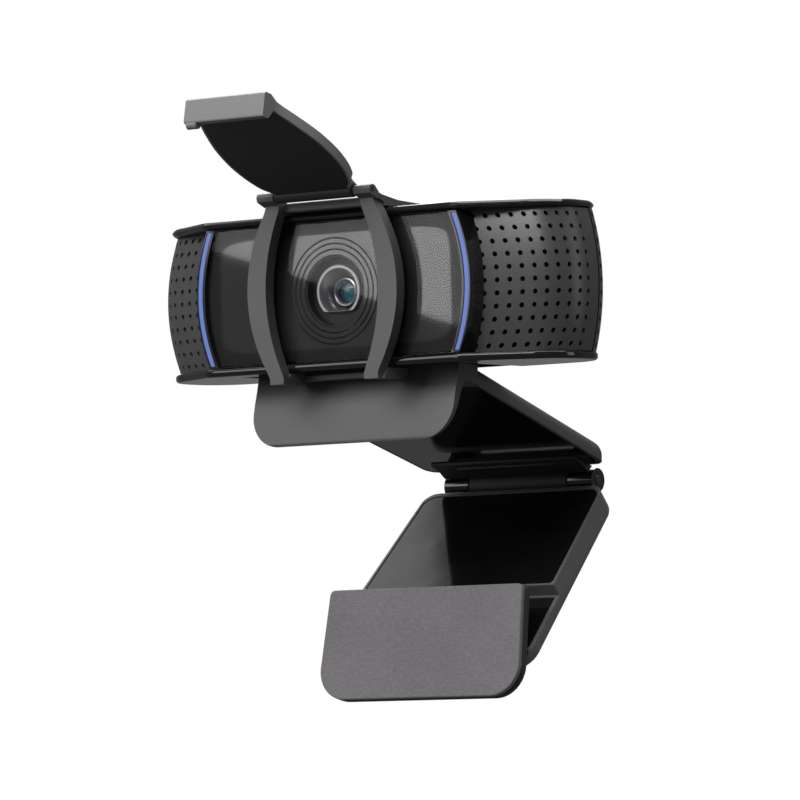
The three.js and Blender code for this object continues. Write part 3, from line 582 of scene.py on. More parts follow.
SURROUND_R = LENS_PLATE_R - 0.02
grooved = [(SURROUND_R, PRINT_Y)]
for r in (9.8, 8.75, 7.7):
    grooved += [(r + 0.17, PRINT_Y), (r, PRINT_Y + 0.28), (r - 0.17, PRINT_Y)]
grooved += [(6.75, PRINT_Y), (6.65, PRINT_Y + 0.1), (6.65, PRINT_Y + 1), (SURROUND_R, PRINT_Y + 1)]
lens_surround = turned("lens_surround", grooved, 96)
settled(smoothed(lens_surround, 20), FACE_FRAME, "head", "backing", printed)

# ---- window frame and lit arcs -------------------------------------------------------------------
# A thin black frame holds the pane; its outer flanks slope back to the grilles.
# In it sit two bowed light guides of tinted polycarbonate that glow a soft blue.
frame_black = piano_black("frame_black", 0.006)
window_frame = plate("window_frame", face_outline(1.75, 12.85), "front", -0.25, 3.9)
for vertex in window_frame.data.vertices:
    if vertex.co.y < 0:
        vertex.co.x -= math.copysign(0.95, vertex.co.x)
opening = plate("opening", face_outline(-1.07, 12.8), "front", -2, 2.7)
cut(window_frame, opening)
bored(window_frame, 6.7, 12, 64)
recess_room = [(-26.2, -14), (26.2, -14), (26.2, -10.9), (-26.2, -10.9)]
cut(window_frame, plate("recess_room", recess_room, "front", 2.6, 6))
blue, blue_shader, blue_place = new_finish("blue_guide", IOR=1.55, Roughness=0.28)
blue_shader.inputs["Emission Strength"].default_value = 0.28
flow = mottle(blue_place, 260, 2)
feed(blue_shader, "Base Color", flow.between((0.045, 0.075, 0.24), (0.055, 0.095, 0.30)))
feed(blue_shader, "Emission Color", flow.between((0.09, 0.17, 0.52), (0.12, 0.22, 0.62)))
GUIDE_HALF, SLOT_HALF = 0.52, 0.58
for side, name in SIDES:
    heights = [-12.5 + 25 * i / 28 for i in range(29)]
    slot_in = [(side * guide_x(z, -SLOT_HALF), z) for z in heights]
    slot_out = [(side * guide_x(z, SLOT_HALF), z) for z in heights]
    cut(window_frame, plate("slot", slot_in + slot_out[::-1], "front", -2, 3.0))
    inner = [(side * guide_x(z, -GUIDE_HALF), z) for z in heights]
    outer = [(side * guide_x(z, GUIDE_HALF), z) for z in heights]
    guide = plate(f"{name}_lit_arc", inner + outer[::-1], "front", -0.2, 4.3)
    settled(eased(guide, 0.16, 2), FACE_FRAME, "head", "guide", blue, f"{name}_light_guide")
settled(eased(window_frame, 0.12, 2), FACE_FRAME, "head", "gloss", frame_black, "window_bezel")

# ---- lens and its well ---------------------------------------------------------------------------
# A black stepped well holds a satin metal funnel, its rim flat below, in front of the lens barrel.
# The barrel has the same finish and carries a domed front lens with a blue-green coating.
well_black, well_shader, well_place = new_finish("well_black", Roughness=0.5)
feed(well_shader, "Base Color", mottle(well_place, 1800).between((0.004,) * 3, (0.009,) * 3))
rim_grey, rim_shader, rim_place = new_finish("rim_grey", IOR=1.5, Metallic=0.85)
rim_grain = mottle(rim_place, 2600, 2)
feed(rim_shader, "Base Color", rim_grain.between((0.42, 0.42, 0.43), (0.46, 0.46, 0.48)))
feed(rim_shader, "Roughness", rim_grain * 0.02 + 0.3)

well_loop = [(6.6, 1.0), (6.6, 3.6), (4.4, 3.6), (4.4, 2.7), (6.25, 2.7), (6.3, 1.0)]
well_floor = turned("well_floor", well_loop)
settled(smoothed(well_floor), FACE_FRAME, "head", "soft_black", well_black, "lens_well")
funnel_loop = [
    (4.9, 3.3), (4.95, 2.15), (4.8, 2.0), (4.35, 2.0), (4.2, 2.15),
    (3.85, 2.6), (3.05, 4.3), (3.05, 6.6), (3.4, 6.6), (3.7, 3.9),
]
lens_funnel = turned("lens_funnel", funnel_loop)
FLAT_BELOW, RIM_DEPTH, FLATTENED = -3.6, 2.7, 0.08
for vertex in lens_funnel.data.vertices:
    if vertex.co.y < RIM_DEPTH and vertex.co.z < FLAT_BELOW:
        vertex.co.z = FLAT_BELOW + (vertex.co.z - FLAT_BELOW) * FLATTENED
settled(smoothed(lens_funnel), FACE_FRAME, "head", "soft_black", rim_grey)

barrel_loop = [
    (2.72, 4.4), (2.6, 4.15), (2.35, 4.05), (2.2, 4.15), (2.05, 4.75), (2.05, 5.6), (1.4, 5.9),
    (1.4, 10.2), (2.2, 10.2), (2.2, 12.4), (3.2, 12.4), (3.2, 7.8), (2.72, 7.8),
]
barrel = turned("barrel", barrel_loop)
settled(smoothed(barrel), FACE_FRAME, "lens_cell", "chip", rim_grey, "lens_barrel")

coated, coated_shader, coated_place = new_finish("coated_glass", IOR=1.5, Roughness=0.02)
edge_on = coated_place.node("ShaderNodeLayerWeight", {}, {"Blend": 0.45}, "Facing")
coating = [
    (0.0, (0.02, 0.11, 0.13)),
    (0.12, (0.01, 0.16, 0.17)),
    (0.3, (0.03, 0.03, 0.08)),
    (0.6, (0.01, 0.01, 0.02)),
]
feed(coated_shader, "Base Color", edge_on.node("ShaderNodeValToRGB", {"stops": coating}, {0: edge_on}))
DOME_R, DOME_TOP, DOME_STEP, GLASS_BACK = 3.3, 4.35, math.radians(4.2), 5.55
dome_angles = [DOME_STEP * i for i in range(10)]
dome = [(DOME_R * math.sin(a), DOME_TOP + DOME_R * (1 - math.cos(a))) for a in dome_angles]
front_glass = turned("front_glass", dome + [(dome[-1][0], GLASS_BACK), (0, GLASS_BACK)], 48)
settled(smoothed(front_glass), FACE_FRAME, "lens_cell", "glass", coated, "front_lens")

# ---- cable gland ---------------------------------------------------------------------------------
# A soft black sleeve pressed into the back of the head, where the lead would come out.
# Its flange seats against the shell and its lip is rounded, so that it doesn't chafe the lead.
gland_loop = [
    (1.4, 20.4), (2.7, 20.4), (2.7, 23.0), (3.75, 23.15), (3.8, 23.4), (3.8, 24.0),
    (3.5, 24.3), (2.9, 24.35), (2.75, 24.9), (2.5, 25.0), (1.5, 25.0), (1.4, 24.8),
]
sleeve = turned("gland_sleeve", gland_loop, 40, (18, -6))
soft_black, soft_shader, soft_place = new_finish("soft_black", Roughness=0.7)
feed(soft_shader, "Base Color", mottle(soft_place, 1500).between((0.008,) * 3, (0.014,) * 3))
settled(smoothed(sleeve), HEAD_FRAME, "head", "soft_black", soft_black, "cable_gland")

# ---- privacy shutter frame -----------------------------------------------------------------------
# A grey snap-on bracket: two bowed arms cross the front, hook under the head and lie on top of it,
# joined by a bar above and one below. The flap's pin runs between the arms' upper ends.
shutter_grey = satin_grey("shutter_grey", (0.060, 0.060, 0.062), (0.074, 0.074, 0.076), 0.5)
ARM_FRONT, ARM_BACK, ARM_LOW, ARM_HIGH = -5.1, -2.6, -16.8, 17.1
ABOVE = 14.8  # the saddles' undersides, just clear of the top cover
ARM_INNER, ARM_OUTER = 9.1, 12.8


def bow_x(z, tip, middle):
    """half spacing of an arm's edge at a height: widest in the middle"""
    return middle - (middle - tip) * min(1.0, abs(z / 15.5)) ** 2


def fused(base, *others):
    """welds several solids into one"""
    for other in others:
        cut(base, other, "UNION")
    return base


saddle_side = [
    (-2.5, ABOVE), (8.6, ABOVE), (9, ABOVE + 0.3), (9, ABOVE + 0.9),
    (2, ABOVE + 1.2), (-4.0, 16.9), (-3.9, 16.0), (-2.5, 15.4),
]
hook_side = [
    (-2.8, -ABOVE), (3.4, -ABOVE), (3.6, -ABOVE - 0.5),
    (3.2, -ABOVE - 1.5), (2.4, -16.75), (-3.9, -16.75),
]
seat_side = [
    (-6.9, 16.9), (-7.1, 17.7), (-6.8, 18.3), (-6.1, 18.55),
    (-5.3, 18.4), (-4.0, 17.2), (-4.0, 16.0), (-4.7, 16.0),
]
for side, name in SIDES:
    heights = [ARM_LOW + (ARM_HIGH - ARM_LOW) * i / 30 for i in range(31)]
    inner = [(side * bow_x(z, ARM_INNER, 12.7), z) for z in heights]
    outer = [(side * bow_x(z, 12.2, 16.9), z) for z in heights]
    near, far = sorted((side * ARM_INNER, side * ARM_OUTER))
    bow = plate(f"{name}_shutter_arm", inner + outer[::-1], "front", ARM_FRONT, ARM_BACK)
    saddle = plate("saddle", saddle_side, "side", near, far)
    hook = plate("hook", hook_side, "side", near, far)
    seat = plate("seat", seat_side, "side", near, far)
    arm = fused(bow, saddle, hook, seat)
    replaced = ["shutter_frame"] if side > 0 else []
    settled(eased(arm, 0.35, 3), HEAD_FRAME, "head", "shutter", shutter_grey, *replaced)
BAR_HALF = 9.6
bar_side = [(-3.4, 15.0), (-2.8, 14.8), (8.6, 14.8), (9, 15.1), (8.8, 15.7), (-1.4, 16.7), (-3.1, 16.6)]
top_bar = plate("shutter_top_bar", bar_side, "side", -BAR_HALF, BAR_HALF)
settled(eased(top_bar, 0.22, 3), HEAD_FRAME, "head", "shutter", shutter_grey)
lock_side = [(1.6, -15.0), (3.2, -15.0), (3.2, -16.2), (1.6, -16.2)]
lock_bar = plate("shutter_low_bar", lock_side, "side", -BAR_HALF, BAR_HALF)
settled(eased(lock_bar, 0.25, 3), HEAD_FRAME, "head", "shutter", shutter_grey)

PIN_Y, PIN_Z = -6.1, 17.7


def rod(name, r, x0, x1, y, z, ends=0.15, sides=48):
    """a round bar across the webcam, its ends eased"""
    clear_bench()
    lying = (0, math.pi / 2, 0)
    bpy.ops.mesh.primitive_cylinder_add(vertices=sides, radius=r, depth=x1 - x0, rotation=lying)
    bpy.ops.object.transform_apply(location=True, rotation=True, scale=True)
    piece = bpy.context.object
    piece.name = piece.data.name = name
    piece.data.transform(Matrix.Translation(((x0 + x1) / 2, y, z)))
    return eased(piece, ends, 3, 60) if ends else piece


bright_steel, steel_shader, steel_place = new_finish("turned_steel", Metallic=1.0, IOR=2.5)
turning_sockets = {"Vector": steel_place, "Scale": 2200, "Distortion": 0.6}
turning = steel_place.node("ShaderNodeTexWave", {"bands_direction": "X"}, turning_sockets)
feed(steel_shader, "Base Color", turning.between((0.45, 0.45, 0.46), (0.58, 0.58, 0.59)))
feed(steel_shader, "Roughness", turning * 0.12 + 0.24)
blackened = satin_grey("blackened_steel", (0.010, 0.010, 0.011), (0.018, 0.018, 0.019), 0.4)
PIN_HALF = 12.85
flap_pin = rod("flap_pin", 0.62, -PIN_HALF, PIN_HALF, PIN_Y, PIN_Z, 0.12, 24)
settled(flap_pin, HEAD_FRAME, "head", "steel", blackened, "shutter_pin")

# ---- privacy flap --------------------------------------------------------------------------------
# A grey moulded cover with bowed sides: it swings down over the lens and is lifted by its thick tab.
# Its underside carries a near-black sheet inside a fine parting line, painted shade for the shadow under
# the flap; a nub under the tab clicks shut.
FLAP_OPEN = math.radians(-28.9)
FLAP_FRAME = HEAD_FRAME @ Matrix.Translation((0, PIN_Y, PIN_Z)) @ Matrix.Rotation(FLAP_OPEN, 4, "X")
flap_grey = satin_grey("flap_grey", (0.125, 0.125, 0.128), (0.145, 0.145, 0.148), 0.46)
# near-black satin: on the flap's underside sheet and its barrel it is painted shade, on the rear hinge
# parts it is their own black
black_satin_and_flap_shade = satin_grey("black_satin_and_flap_shade", (0.0085, 0.0085, 0.0088), (0.012, 0.012, 0.0122), 0.62)
HALF_WIDTHS = [
    (1.3, 8.6), (-1.5, 8.7), (-3.4, 10.1), (-7, 11.3), (-11.5, 11.85),
    (-16.8, 11.5), (-22, 10.3), (-26, 9.1), (-29.0, 8.7),
]


def flowing(knots, steps=5):
    """a smooth line through a few knots"""
    line = []
    last = len(knots) - 1
    for i in range(last):
        before, a, b, after = (Vector(knots[max(0, min(last, i + k))]) for k in (-1, 0, 1, 2))
        rise = b - before
        bend = 2 * before - 5 * a + 4 * b - after
        twist = 3 * a - before - 3 * b + after
        for k in range(steps):
            t = k / steps
            line.append(tuple(0.5 * (2 * a + rise * t + bend * t * t + twist * t ** 3)))
    return line + [tuple(knots[-1])]


flap_edge = flowing(HALF_WIDTHS)
flap_plan = mirrored([(x, y) for y, x in flap_edge])
flap_plate = plate("flap_plate", flap_plan, "top", -0.35, 1.5)
flap_barrel = rod("flap_barrel", 1.3, -8.75, 8.75, 0, 0, 0)
tab_side = [
    (-31.1, 1.0), (-30.8, 1.4), (-29.4, 1.8), (-27.6, 1.5), (-27.2, 0.2),
    (-28.2, -2.5), (-28.6, -2.8), (-29.7, -3.0), (-30.0, -2.7),
]
tab = plate("tab", tab_side, "side", -8.9, 8.9)
nub = rod("nub", 0.8, -8.4, -6.2, -29.0, -3.0, 0, 24)
flap_shell = fused(flap_plate, tab, nub)
settled(eased(flap_shell, 0.3, 3), FLAP_FRAME, "flap", "flap", flap_grey, "shutter_flap")
# the near-black sheet under the flap and the dark flap barrel are painted shade for the shadow that falls
# under the flap
flap_shade_plan = mirrored([(x - 0.55, y) for y, x in flap_edge if -27.9 < y < -0.9])
flap_shade_sheet = plate("flap_shade_sheet", flap_shade_plan, "top", -0.5, 0.1)
settled(eased(flap_shade_sheet, 0.12, 2), FLAP_FRAME, "flap", "flap", black_satin_and_flap_shade)
settled(eased(flap_barrel, 0.2, 3, 60), FLAP_FRAME, "flap", "flap", black_satin_and_flap_shade)

# ---- front lip of the clip -----------------------------------------------------------------------
# The part that hooks over a monitor's front edge: matt grey ABS with broad round lower corners.
# Seen from the side it leans forward towards its tip, and thickens upwards to meet the top arm.
shell_grey = satin_grey("shell_grey", (0.053, 0.051, 0.054), (0.065, 0.063, 0.066), 0.5)
ARM_SLOPE, ARM_Z0, ARM_THICK = 0.25, -14.36, 3.7


def underside(y):
    """height of the top arm's lower face at a depth"""
    return ARM_Z0 - ARM_SLOPE * y


def round_plate(half, top, bottom, r):
    """outline of a plate whose two lower corners are round"""
    return mirrored(arc(half - r, bottom + r, r, 0, 90, 14) + [(half, top)])


lip_side = [
    (6.4, -13.9), (5.85, -16.6), (5.0, -20.0), (4.3, -23.8), (3.75, -27.2), (4.0, -27.8), (4.7, -27.2),
    (5.15, -25.0), (5.6, -22.9), (6.8, -19.6), (8.4, -16.9), (12.4, -17.46), (12.4, -13.9),
]
LIP_HALF, LIP_LOW, LIP_CORNER_R = 22.75, -27.8, 6.5
front_lip = plate("lip", lip_side, "side", -30, 30)
lip_outline = round_plate(LIP_HALF, -10, LIP_LOW, LIP_CORNER_R)
cut(front_lip, plate("lip_outline", lip_outline, "front", 0, 20), "INTERSECT")
settled(eased(front_lip, 0.45, 3), TO_ROW, "clip", "shell", shell_grey, "front_lip")

# ---- rubber strip inside the lip -----------------------------------------------------------------
# A soft strip keeps the lip from marking the monitor's front edge. It lies along the lip's inner
# face, over the middle two thirds of the width.
def brushed_rubber(name, low, high):
    """grey elastomer with a fine grain that runs across the part"""
    material, shader, place = new_finish(name, IOR=1.5)
    stretched = place.node("ShaderNodeMapping", {}, {"Vector": place, "Scale": (0.35, 1, 1)})
    thread = mottle(stretched, 3600, 3, 0.65)
    cloud = mottle(place, 60, 2)
    feed(shader, "Base Color", (thread * 0.75 + cloud * 0.25).step(0.32, 0.68).between(low, high))
    feed(shader, "Roughness", thread * 0.12 + 0.66)
    grained(shader, thread, 0.00006, 0.7)
    return material


rubber_grey = brushed_rubber("rubber_grey", (0.100, 0.095, 0.102), (0.146, 0.139, 0.149))
STRIP_HALF = 15.5
strip_side = [(6.0, -22.9), (5.1, -26.2), (5.7, -26.4), (6.6, -23.1), (8.8, -18.2), (8.2, -17.95)]
lip_strip = plate("lip_strip", strip_side, "side", -STRIP_HALF, STRIP_HALF)
settled(eased(lip_strip, 0.15, 2), TO_ROW, "clip", "rubber", rubber_grey, "lip_pad")

# ---- top arm of the clip -------------------------------------------------------------------------
# The arm that rests on the monitor: a shallow matt tray, upside down, with soft upper edges.
# A gloss panel fills its underside, set in a fine rim.
ARM_FRONT_Y, ARM_END_Y, ARM_FRONT_HALF, ARM_END_HALF = 12.8, 58.8, 22.4, 20.6


def arm_outline(inset, rear_y, rear_r):
    """the top arm's outline from above, narrower to the back, with round rear corners"""
    front, rear = ARM_FRONT_HALF - inset, ARM_END_HALF - inset
    corner = arc(rear - rear_r, rear_y - rear_r, rear_r, 90, 180, 8)
    return mirrored([(front, ARM_FRONT_Y + inset)] + corner)


def sloped(piece):
    """lets a level plate follow the top arm's slope"""
    for vertex in piece.data.vertices:
        vertex.co.z += underside(vertex.co.y)
    return piece


def pick(piece, kind, test):
    """selects the faces or edges of the active piece that pass a test, and goes to edit mode"""
    alone(piece)
    bpy.ops.object.mode_set(mode="EDIT")
    bpy.ops.mesh.select_mode(type=kind)
    bpy.ops.mesh.select_all(action="DESELECT")
    bpy.ops.object.mode_set(mode="OBJECT")
    vertices = piece.data.vertices
    for element in piece.data.polygons if kind == "FACE" else piece.data.edges:
        element.select = test(element, [vertices[i].co for i in element.vertices])
    bpy.ops.object.mode_set(mode="EDIT")


def upper_rim(edge, ends):
    """an edge of the arm's top, other than the one across its front"""
    return all(p.z > 3.6 for p in ends) and not all(p.y < 13 for p in ends)


top_arm = plate("upper_arm", arm_outline(0, ARM_END_Y, 2.6), "top", 0, ARM_THICK)
pick(top_arm, "FACE", lambda face, corners: face.normal.z < -0.9)
bpy.ops.mesh.inset(thickness=0.45)
bpy.ops.mesh.extrude_region_move(TRANSFORM_OT_translate={"value": (0, 0, 1.3)})
bpy.ops.object.mode_set(mode="OBJECT")
pick(top_arm, "EDGE", upper_rim)
bpy.ops.mesh.bevel(offset=2.4, segments=7, profile=0.5, clamp_overlap=True)
bpy.ops.object.mode_set(mode="OBJECT")
settled(eased(sloped(top_arm), 0.25, 3), TO_ROW, "clip", "shell", shell_grey, "top_arm")

liner_outline = arm_outline(0.6, 58.1, 2.1)
top_liner = plate("upper_arm_panel", liner_outline, "top", 0, 1.0)
panel_black = piano_black("panel_black", 0.0035)
settled(eased(sloped(top_liner), 0.22, 3), TO_ROW, "clip", "gloss", panel_black, "top_arm_liner")

# ---- rear hinge ----------------------------------------------------------------------------------
# Three knuckles on a blackened pin join the arms: the upper arm's matt one lies between the lower
# arm's two gloss ones. A short matt apron carries the upper arm's end down to them.
HINGE_Y, HINGE_Z, HINGE_R = 61.0, -31.8, 2.3
MIDDLE_HALF, APRON_HALF, HINGE_PIN_HALF = 11.25, 16.6, 17.25
SIDE_NEAR, SIDE_FAR = 11.55, 17.05
hinge_black = piano_black("hinge_black", 0.004)
upper_leaf = [
    (54.8, -27.5), (56.8, -27.5), (60.9, -29.75), (61.8, -31.2),
    (60.0, -31.4), (56.8, -29.0), (54.8, -29.0),
]
middle_barrel = rod("middle_barrel", HINGE_R, -MIDDLE_HALF, MIDDLE_HALF, HINGE_Y, HINGE_Z, 0)
knuckle = fused(middle_barrel, plate("leaf", upper_leaf, "side", -MIDDLE_HALF, MIDDLE_HALF))
settled(eased(knuckle, 0.2, 3), TO_ROW, "clip", "gloss", black_satin_and_flap_shade, "upper_hinge_knuckle")
apron_side = [
    (53.5, -27.2), (58.9, -28.9), (59.9, -29.15), (59.2, -29.7),
    (58.6, -30.4), (58.1, -30.3), (56.5, -29.3), (53.5, -28.2),
]
apron = plate("hinge_apron", apron_side, "side", -APRON_HALF, APRON_HALF)
settled(eased(apron, 0.15, 2), TO_ROW, "clip", "gloss", black_satin_and_flap_shade)
lower_leaf = [(59.1, -32.3), (61.6, -32.9), (60.6, -35.8), (59.0, -38.2), (57.6, -36.8), (58.8, -35.0)]
for side, name in SIDES:
    near, far = sorted((side * SIDE_NEAR, side * SIDE_FAR))
    side_barrel = rod(f"{name}_side_barrel", HINGE_R, near, far, HINGE_Y, HINGE_Z, 0)
    knuckle = fused(side_barrel, plate("leaf", lower_leaf, "side", near, far))
    settled(eased(knuckle, 0.2, 3), TO_ROW, "lower_arm", "gloss", hinge_black, f"{name}_hinge_knuckle")
hinge_pin = rod("hinge_pin", 0.9, -HINGE_PIN_HALF, HINGE_PIN_HALF, HINGE_Y, HINGE_Z, 0.15, 32)
settled(hinge_pin, TO_ROW, "clip", "steel", blackened, "rear_hinge_pin")

# ---- lower arm -----------------------------------------------------------------------------------
# The arm that swings down behind the monitor: a matt tray, thick at the hinge and stepped thinner
# below, where the foot folds in. Gloss panels fill both levels; a brass thread sits in its back.
# Its own axes lie at 45 degrees: u runs down the arm and v from the monitor to its back.
S = math.sqrt(0.5)
SLOPE = Matrix(((1, 0, 0, 0), (0, S, -S, 0), (0, S, S, 0), (0, 0, 0, 1)))
ARM_FRAME = TO_ROW @ SLOPE
BACK_V, WALL_V, STEP_U, STEP_V = 70.64, 64.4, 10.5, 67.1
TOP_U, END_U = -17.6, 28.9


def lower_half(u):
    """half width of the lower arm, a distance down it"""
    return 20.7 + 0.048 * (u + 16.3)


def lower_outline(start, end, inset, r, top_r):
    """the lower arm's outline square to its back; up the arm is +Y here"""
    foot_x, head_x = lower_half(end) - inset, lower_half(start) - inset
    corner = arc(foot_x - r, -end + r, r, 0, 90, 10)
    return mirrored(corner + arc(head_x - top_r, -start - top_r, top_r, 90, 180, 6))


def step_face(face, corners):
    """the inner face of the thick half, above the step"""
    return face.normal.z > 0.9 and all(p.y > -STEP_U - 0.01 for p in corners)


lower_arm = plate("lower_arm_tray", lower_outline(TOP_U, END_U, 0, 5.5, 3.0), "top", -BACK_V, -STEP_V)
pick(lower_arm, "FACE", lambda face, corners: True)
bpy.ops.mesh.bisect(plane_co=(0, -STEP_U, 0), plane_no=(0, 1, 0))
bpy.ops.object.mode_set(mode="OBJECT")
pick(lower_arm, "FACE", step_face)
bpy.ops.mesh.extrude_region_move(TRANSFORM_OT_translate={"value": (0, 0, STEP_V - WALL_V)})
bpy.ops.object.mode_set(mode="OBJECT")
pick(lower_arm, "EDGE", lambda edge, ends: all(p.z < -BACK_V + 0.01 for p in ends))
bpy.ops.mesh.bevel(offset=2.3, segments=7, profile=0.5, clamp_overlap=True)
bpy.ops.object.mode_set(mode="OBJECT")
OPEN_V = 60  # on the monitor's side of every wall, where the cutters end
thick_bay = lower_outline(-16.7, STEP_U - 0.5, 0.5, 0.8, 2.6)
cut(lower_arm, plate("bay", thick_bay, "top", -WALL_V - 1.9, -OPEN_V))
thin_bay = lower_outline(STEP_U + 0.4, 24.8, 0.6, 0.8, 0.6)
cut(lower_arm, plate("bay", thin_bay, "top", -STEP_V - 1.15, -OPEN_V))
foot_room = [(-24.5, -66.0), (-30.3, -72.2), (-35.7, -66.8), (-29.7, -60.8)]
cut(lower_arm, plate("foot_room", foot_room, "side", -30, 30))
tray_gap = [(-8.1, -22.9), (8.1, -22.9), (8.1, -34), (-8.1, -34)]
cut(lower_arm, plate("knuckle_gap", tray_gap, "top", -74, -OPEN_V))
INSERT_PLACE = (0, -2, 0)
bpy.ops.object.select_all(action="DESELECT")
bpy.ops.mesh.primitive_cylinder_add(vertices=48, radius=3.5, depth=4.0, location=(0, -2, -BACK_V + 1.0))
bpy.ops.object.transform_apply(location=True, rotation=True, scale=True)
cut(lower_arm, bpy.context.object)
# the lower arm takes a lighter copy of the shell grey: painted light, for the stronger light this arm
# catches than the top arm and the lip
shell_grey_painted_lighter = satin_grey("shell_grey_painted_lighter", (0.080, 0.077, 0.081), (0.098, 0.094, 0.099), 0.46)
settled(eased(lower_arm, 0.4, 3), ARM_FRAME, "lower_arm", "shell", shell_grey_painted_lighter, "lower_arm")

thick_panel = lower_outline(-16.6, STEP_U - 0.6, 0.6, 0.7, 2.5)
upper_panel = plate("thick_bay_panel", thick_panel, "top", -WALL_V - 1.5, -WALL_V - 0.12)
settled(eased(upper_panel, 0.12, 2), ARM_FRAME, "lower_arm", "gloss", panel_black, "lower_arm_panel")
thin_panel = lower_outline(STEP_U + 0.5, 24.6, 0.7, 0.7, 0.5)
bay_panel = plate("thin_bay_panel", thin_panel, "top", -STEP_V - 0.9, -STEP_V - 0.1)
panel_gap = [(-8.4, -22.3), (8.4, -22.3), (8.4, -34), (-8.4, -34)]
cut(bay_panel, plate("knuckle_gap", panel_gap, "top", -74, -OPEN_V))
settled(eased(bay_panel, 0.12, 2), ARM_FRAME, "lower_arm", "gloss", panel_black, "foot_bay_panel")

brass, brass_shader, brass_place = new_finish("turned_brass", Metallic=1.0, IOR=1.5)
cut_marks = mottle(brass_place, 2400, 2)
feed(brass_shader, "Base Color", cut_marks.between((0.50, 0.36, 0.14), (0.66, 0.49, 0.21)))
feed(brass_shader, "Roughness", cut_marks * 0.15 + 0.22)
thread_loop = [(3.1, -BACK_V + 0.25), (3.3, -BACK_V + 0.45), (3.3, -66.7), (2.7, -66.7)]
for i in range(7):
    depth = -66.9 - 0.5 * i
    thread_loop += [(2.95, depth), (2.6, depth - 0.25)]
thread_loop += [(2.7, -BACK_V + 0.25)]
insert = turned("threaded_insert", thread_loop, 48)
insert.data.transform(Matrix.Translation(INSERT_PLACE) @ Matrix.Rotation(math.pi / 2, 4, "X"))
settled(smoothed(insert, 25), ARM_FRAME, "lower_arm", "brass", brass, "tripod_insert")

# ---- foot ----------------------------------------------------------------------------------------
# A hinged plate at the arm's end that lies flat against the monitor's back, faced with grey rubber.
# It turns on a bright pin through the lower arm, in a knuckle of its own.
FOOT_TOP, FOOT_LEAN, FOOT_HEIGHT = (27.97, -53.05), math.radians(8.5), 21.2
FOOT_TOP_HALF, FOOT_LOW_HALF, FOOT_TOP_R, FOOT_LOW_R = 22.0, 22.7, 1.1, 6
FOOT_FRAME = TO_ROW @ Matrix.Translation((0, *FOOT_TOP)) @ Matrix.Rotation(-FOOT_LEAN, 4, "X")


def foot_outline(grow):
    """outline of the foot seen from the front, with round lower corners"""
    low_x, low_z = FOOT_LOW_HALF - FOOT_LOW_R + grow, -FOOT_HEIGHT + FOOT_LOW_R - grow
    top_x, top_z = FOOT_TOP_HALF - FOOT_TOP_R + grow, -FOOT_TOP_R + grow
    low_corner = arc(low_x, low_z, FOOT_LOW_R, 0, 90, 12)
    return mirrored(low_corner + arc(top_x, top_z, FOOT_TOP_R, 90, 180, 4))


foot_pad = plate("foot_rubber", foot_outline(-0.05), "front", 0, 1.15)
settled(eased(foot_pad, 0.3, 3), FOOT_FRAME, "foot", "rubber", rubber_grey, "foot_pad")
foot_plate = plate("foot_plate", foot_outline(0), "front", 1.2, 2.75)
settled(eased(foot_plate, 0.35, 3), FOOT_FRAME, "foot", "soft_black", soft_black)
FOOT_PIN_Y, FOOT_PIN_Z, KNUCKLE_HALF, FOOT_PIN_HALF = 30.7, -66.6, 7.7, 11.2
tongue_reach = [(-2.6, 2.4), (0.4, 1.4), (0.4, -1.4), (-2.9, -2.4)]
tongue_side = [(FOOT_PIN_Y + y, FOOT_PIN_Z + z) for y, z in tongue_reach]
foot_barrel = rod("foot_knuckle", 1.5, -KNUCKLE_HALF, KNUCKLE_HALF, FOOT_PIN_Y, FOOT_PIN_Z, 0, 32)
foot_knuckle = fused(foot_barrel, plate("tongue", tongue_side, "side", -KNUCKLE_HALF, KNUCKLE_HALF))
settled(eased(foot_knuckle, 0.2, 3), TO_ROW, "foot", "soft_black", soft_black, "foot_carrier")
foot_pin = rod("foot_pin", 0.7, -FOOT_PIN_HALF, FOOT_PIN_HALF, FOOT_PIN_Y, FOOT_PIN_Z, 0.15, 24)
settled(foot_pin, TO_ROW, "lower_arm", "steel", bright_steel, "foot_hinge_pin")

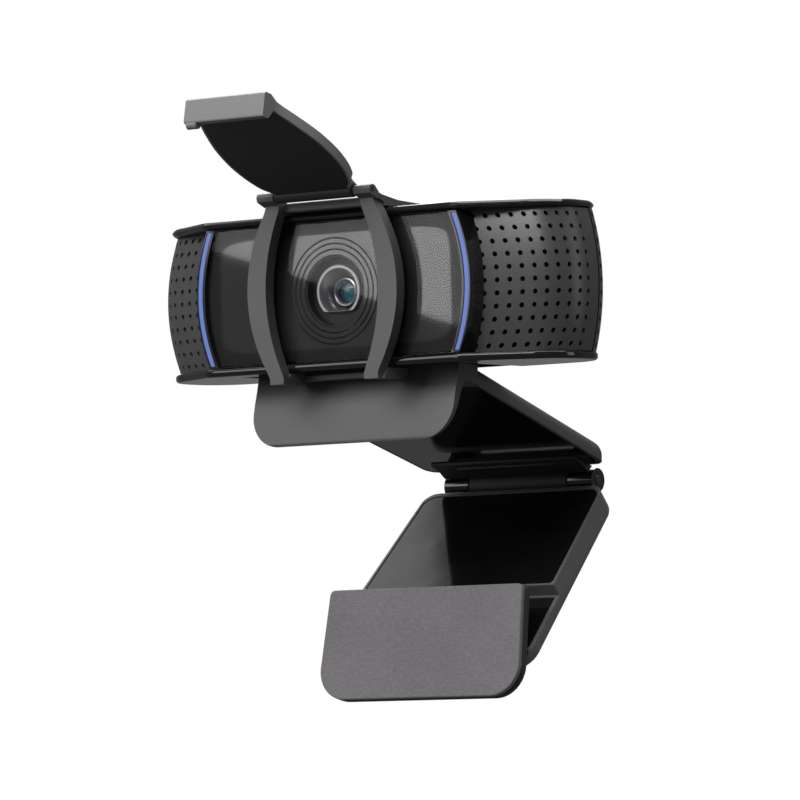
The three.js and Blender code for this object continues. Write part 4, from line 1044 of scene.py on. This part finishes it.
# ---- inner pieces kept from the frame ------------------------------------------------------------
# Circuit boards, chips, microphones, coil, yoke, screws and the neck keep their solid shapes;
# each takes the finish of what it is made of.
board_green, board_shader, board_place = new_finish("solder_mask", IOR=1.5)
track_sockets = {"Vector": board_place, "Scale": 900}
tracks = board_place.node("ShaderNodeTexVoronoi", {"distance": "MANHATTAN"}, track_sockets)
feed(board_shader, "Base Color", tracks.step(0.3, 0.45).between((0.012, 0.095, 0.04), (0.02, 0.15, 0.06)))
feed(board_shader, "Roughness", tracks * 0.2 + 0.3)
epoxy = satin_grey("chip_epoxy", (0.010, 0.010, 0.011), (0.016, 0.016, 0.017), 0.45)
copper, copper_shader, copper_place = new_finish("enamelled_copper", Metallic=1.0, Roughness=0.3)
winding_sockets = {"Vector": copper_place, "Scale": 3200}
turns = copper_place.node("ShaderNodeTexWave", {"bands_direction": "Y"}, winding_sockets)
feed(copper_shader, "Base Color", turns.between((0.35, 0.12, 0.05), (0.68, 0.30, 0.15)))
sheet_metal, sheet_shader, sheet_place = new_finish("rolled_aluminium", Metallic=1.0)
rolled = sheet_place.node("ShaderNodeMapping", {}, {"Vector": sheet_place, "Scale": (0.1, 1, 1)})
feed(sheet_shader, "Base Color", mottle(rolled, 3000).between((0.55, 0.56, 0.58), (0.66, 0.67, 0.69)))
feed(sheet_shader, "Roughness", mottle(rolled, 3000) * 0.2 + 0.28)
nylon, nylon_shader, nylon_place = new_finish("ivory_nylon", Roughness=0.5)
feed(nylon_shader, "Base Color", mottle(nylon_place, 700).between((0.62, 0.59, 0.5), (0.72, 0.69, 0.6)))
kept = {
    "shell": shell_grey, "gloss": gloss_black, "grille": grille_grey, "window": smoked,
    "backing": printed, "guide": blue, "rubber": rubber_grey, "soft_black": soft_black,
    "shutter": shutter_grey, "flap": flap_grey, "steel": bright_steel, "brass": brass,
    "aluminium": sheet_metal, "copper": copper, "glass": coated, "board": board_green,
    "chip": epoxy, "connector": nylon,
}
for row in frame["record"]["subparts"]:
    node = frame["nodes"][row["node"]]
    node.data.materials.clear()
    node.data.materials.append(kept[row["material_slot"]])
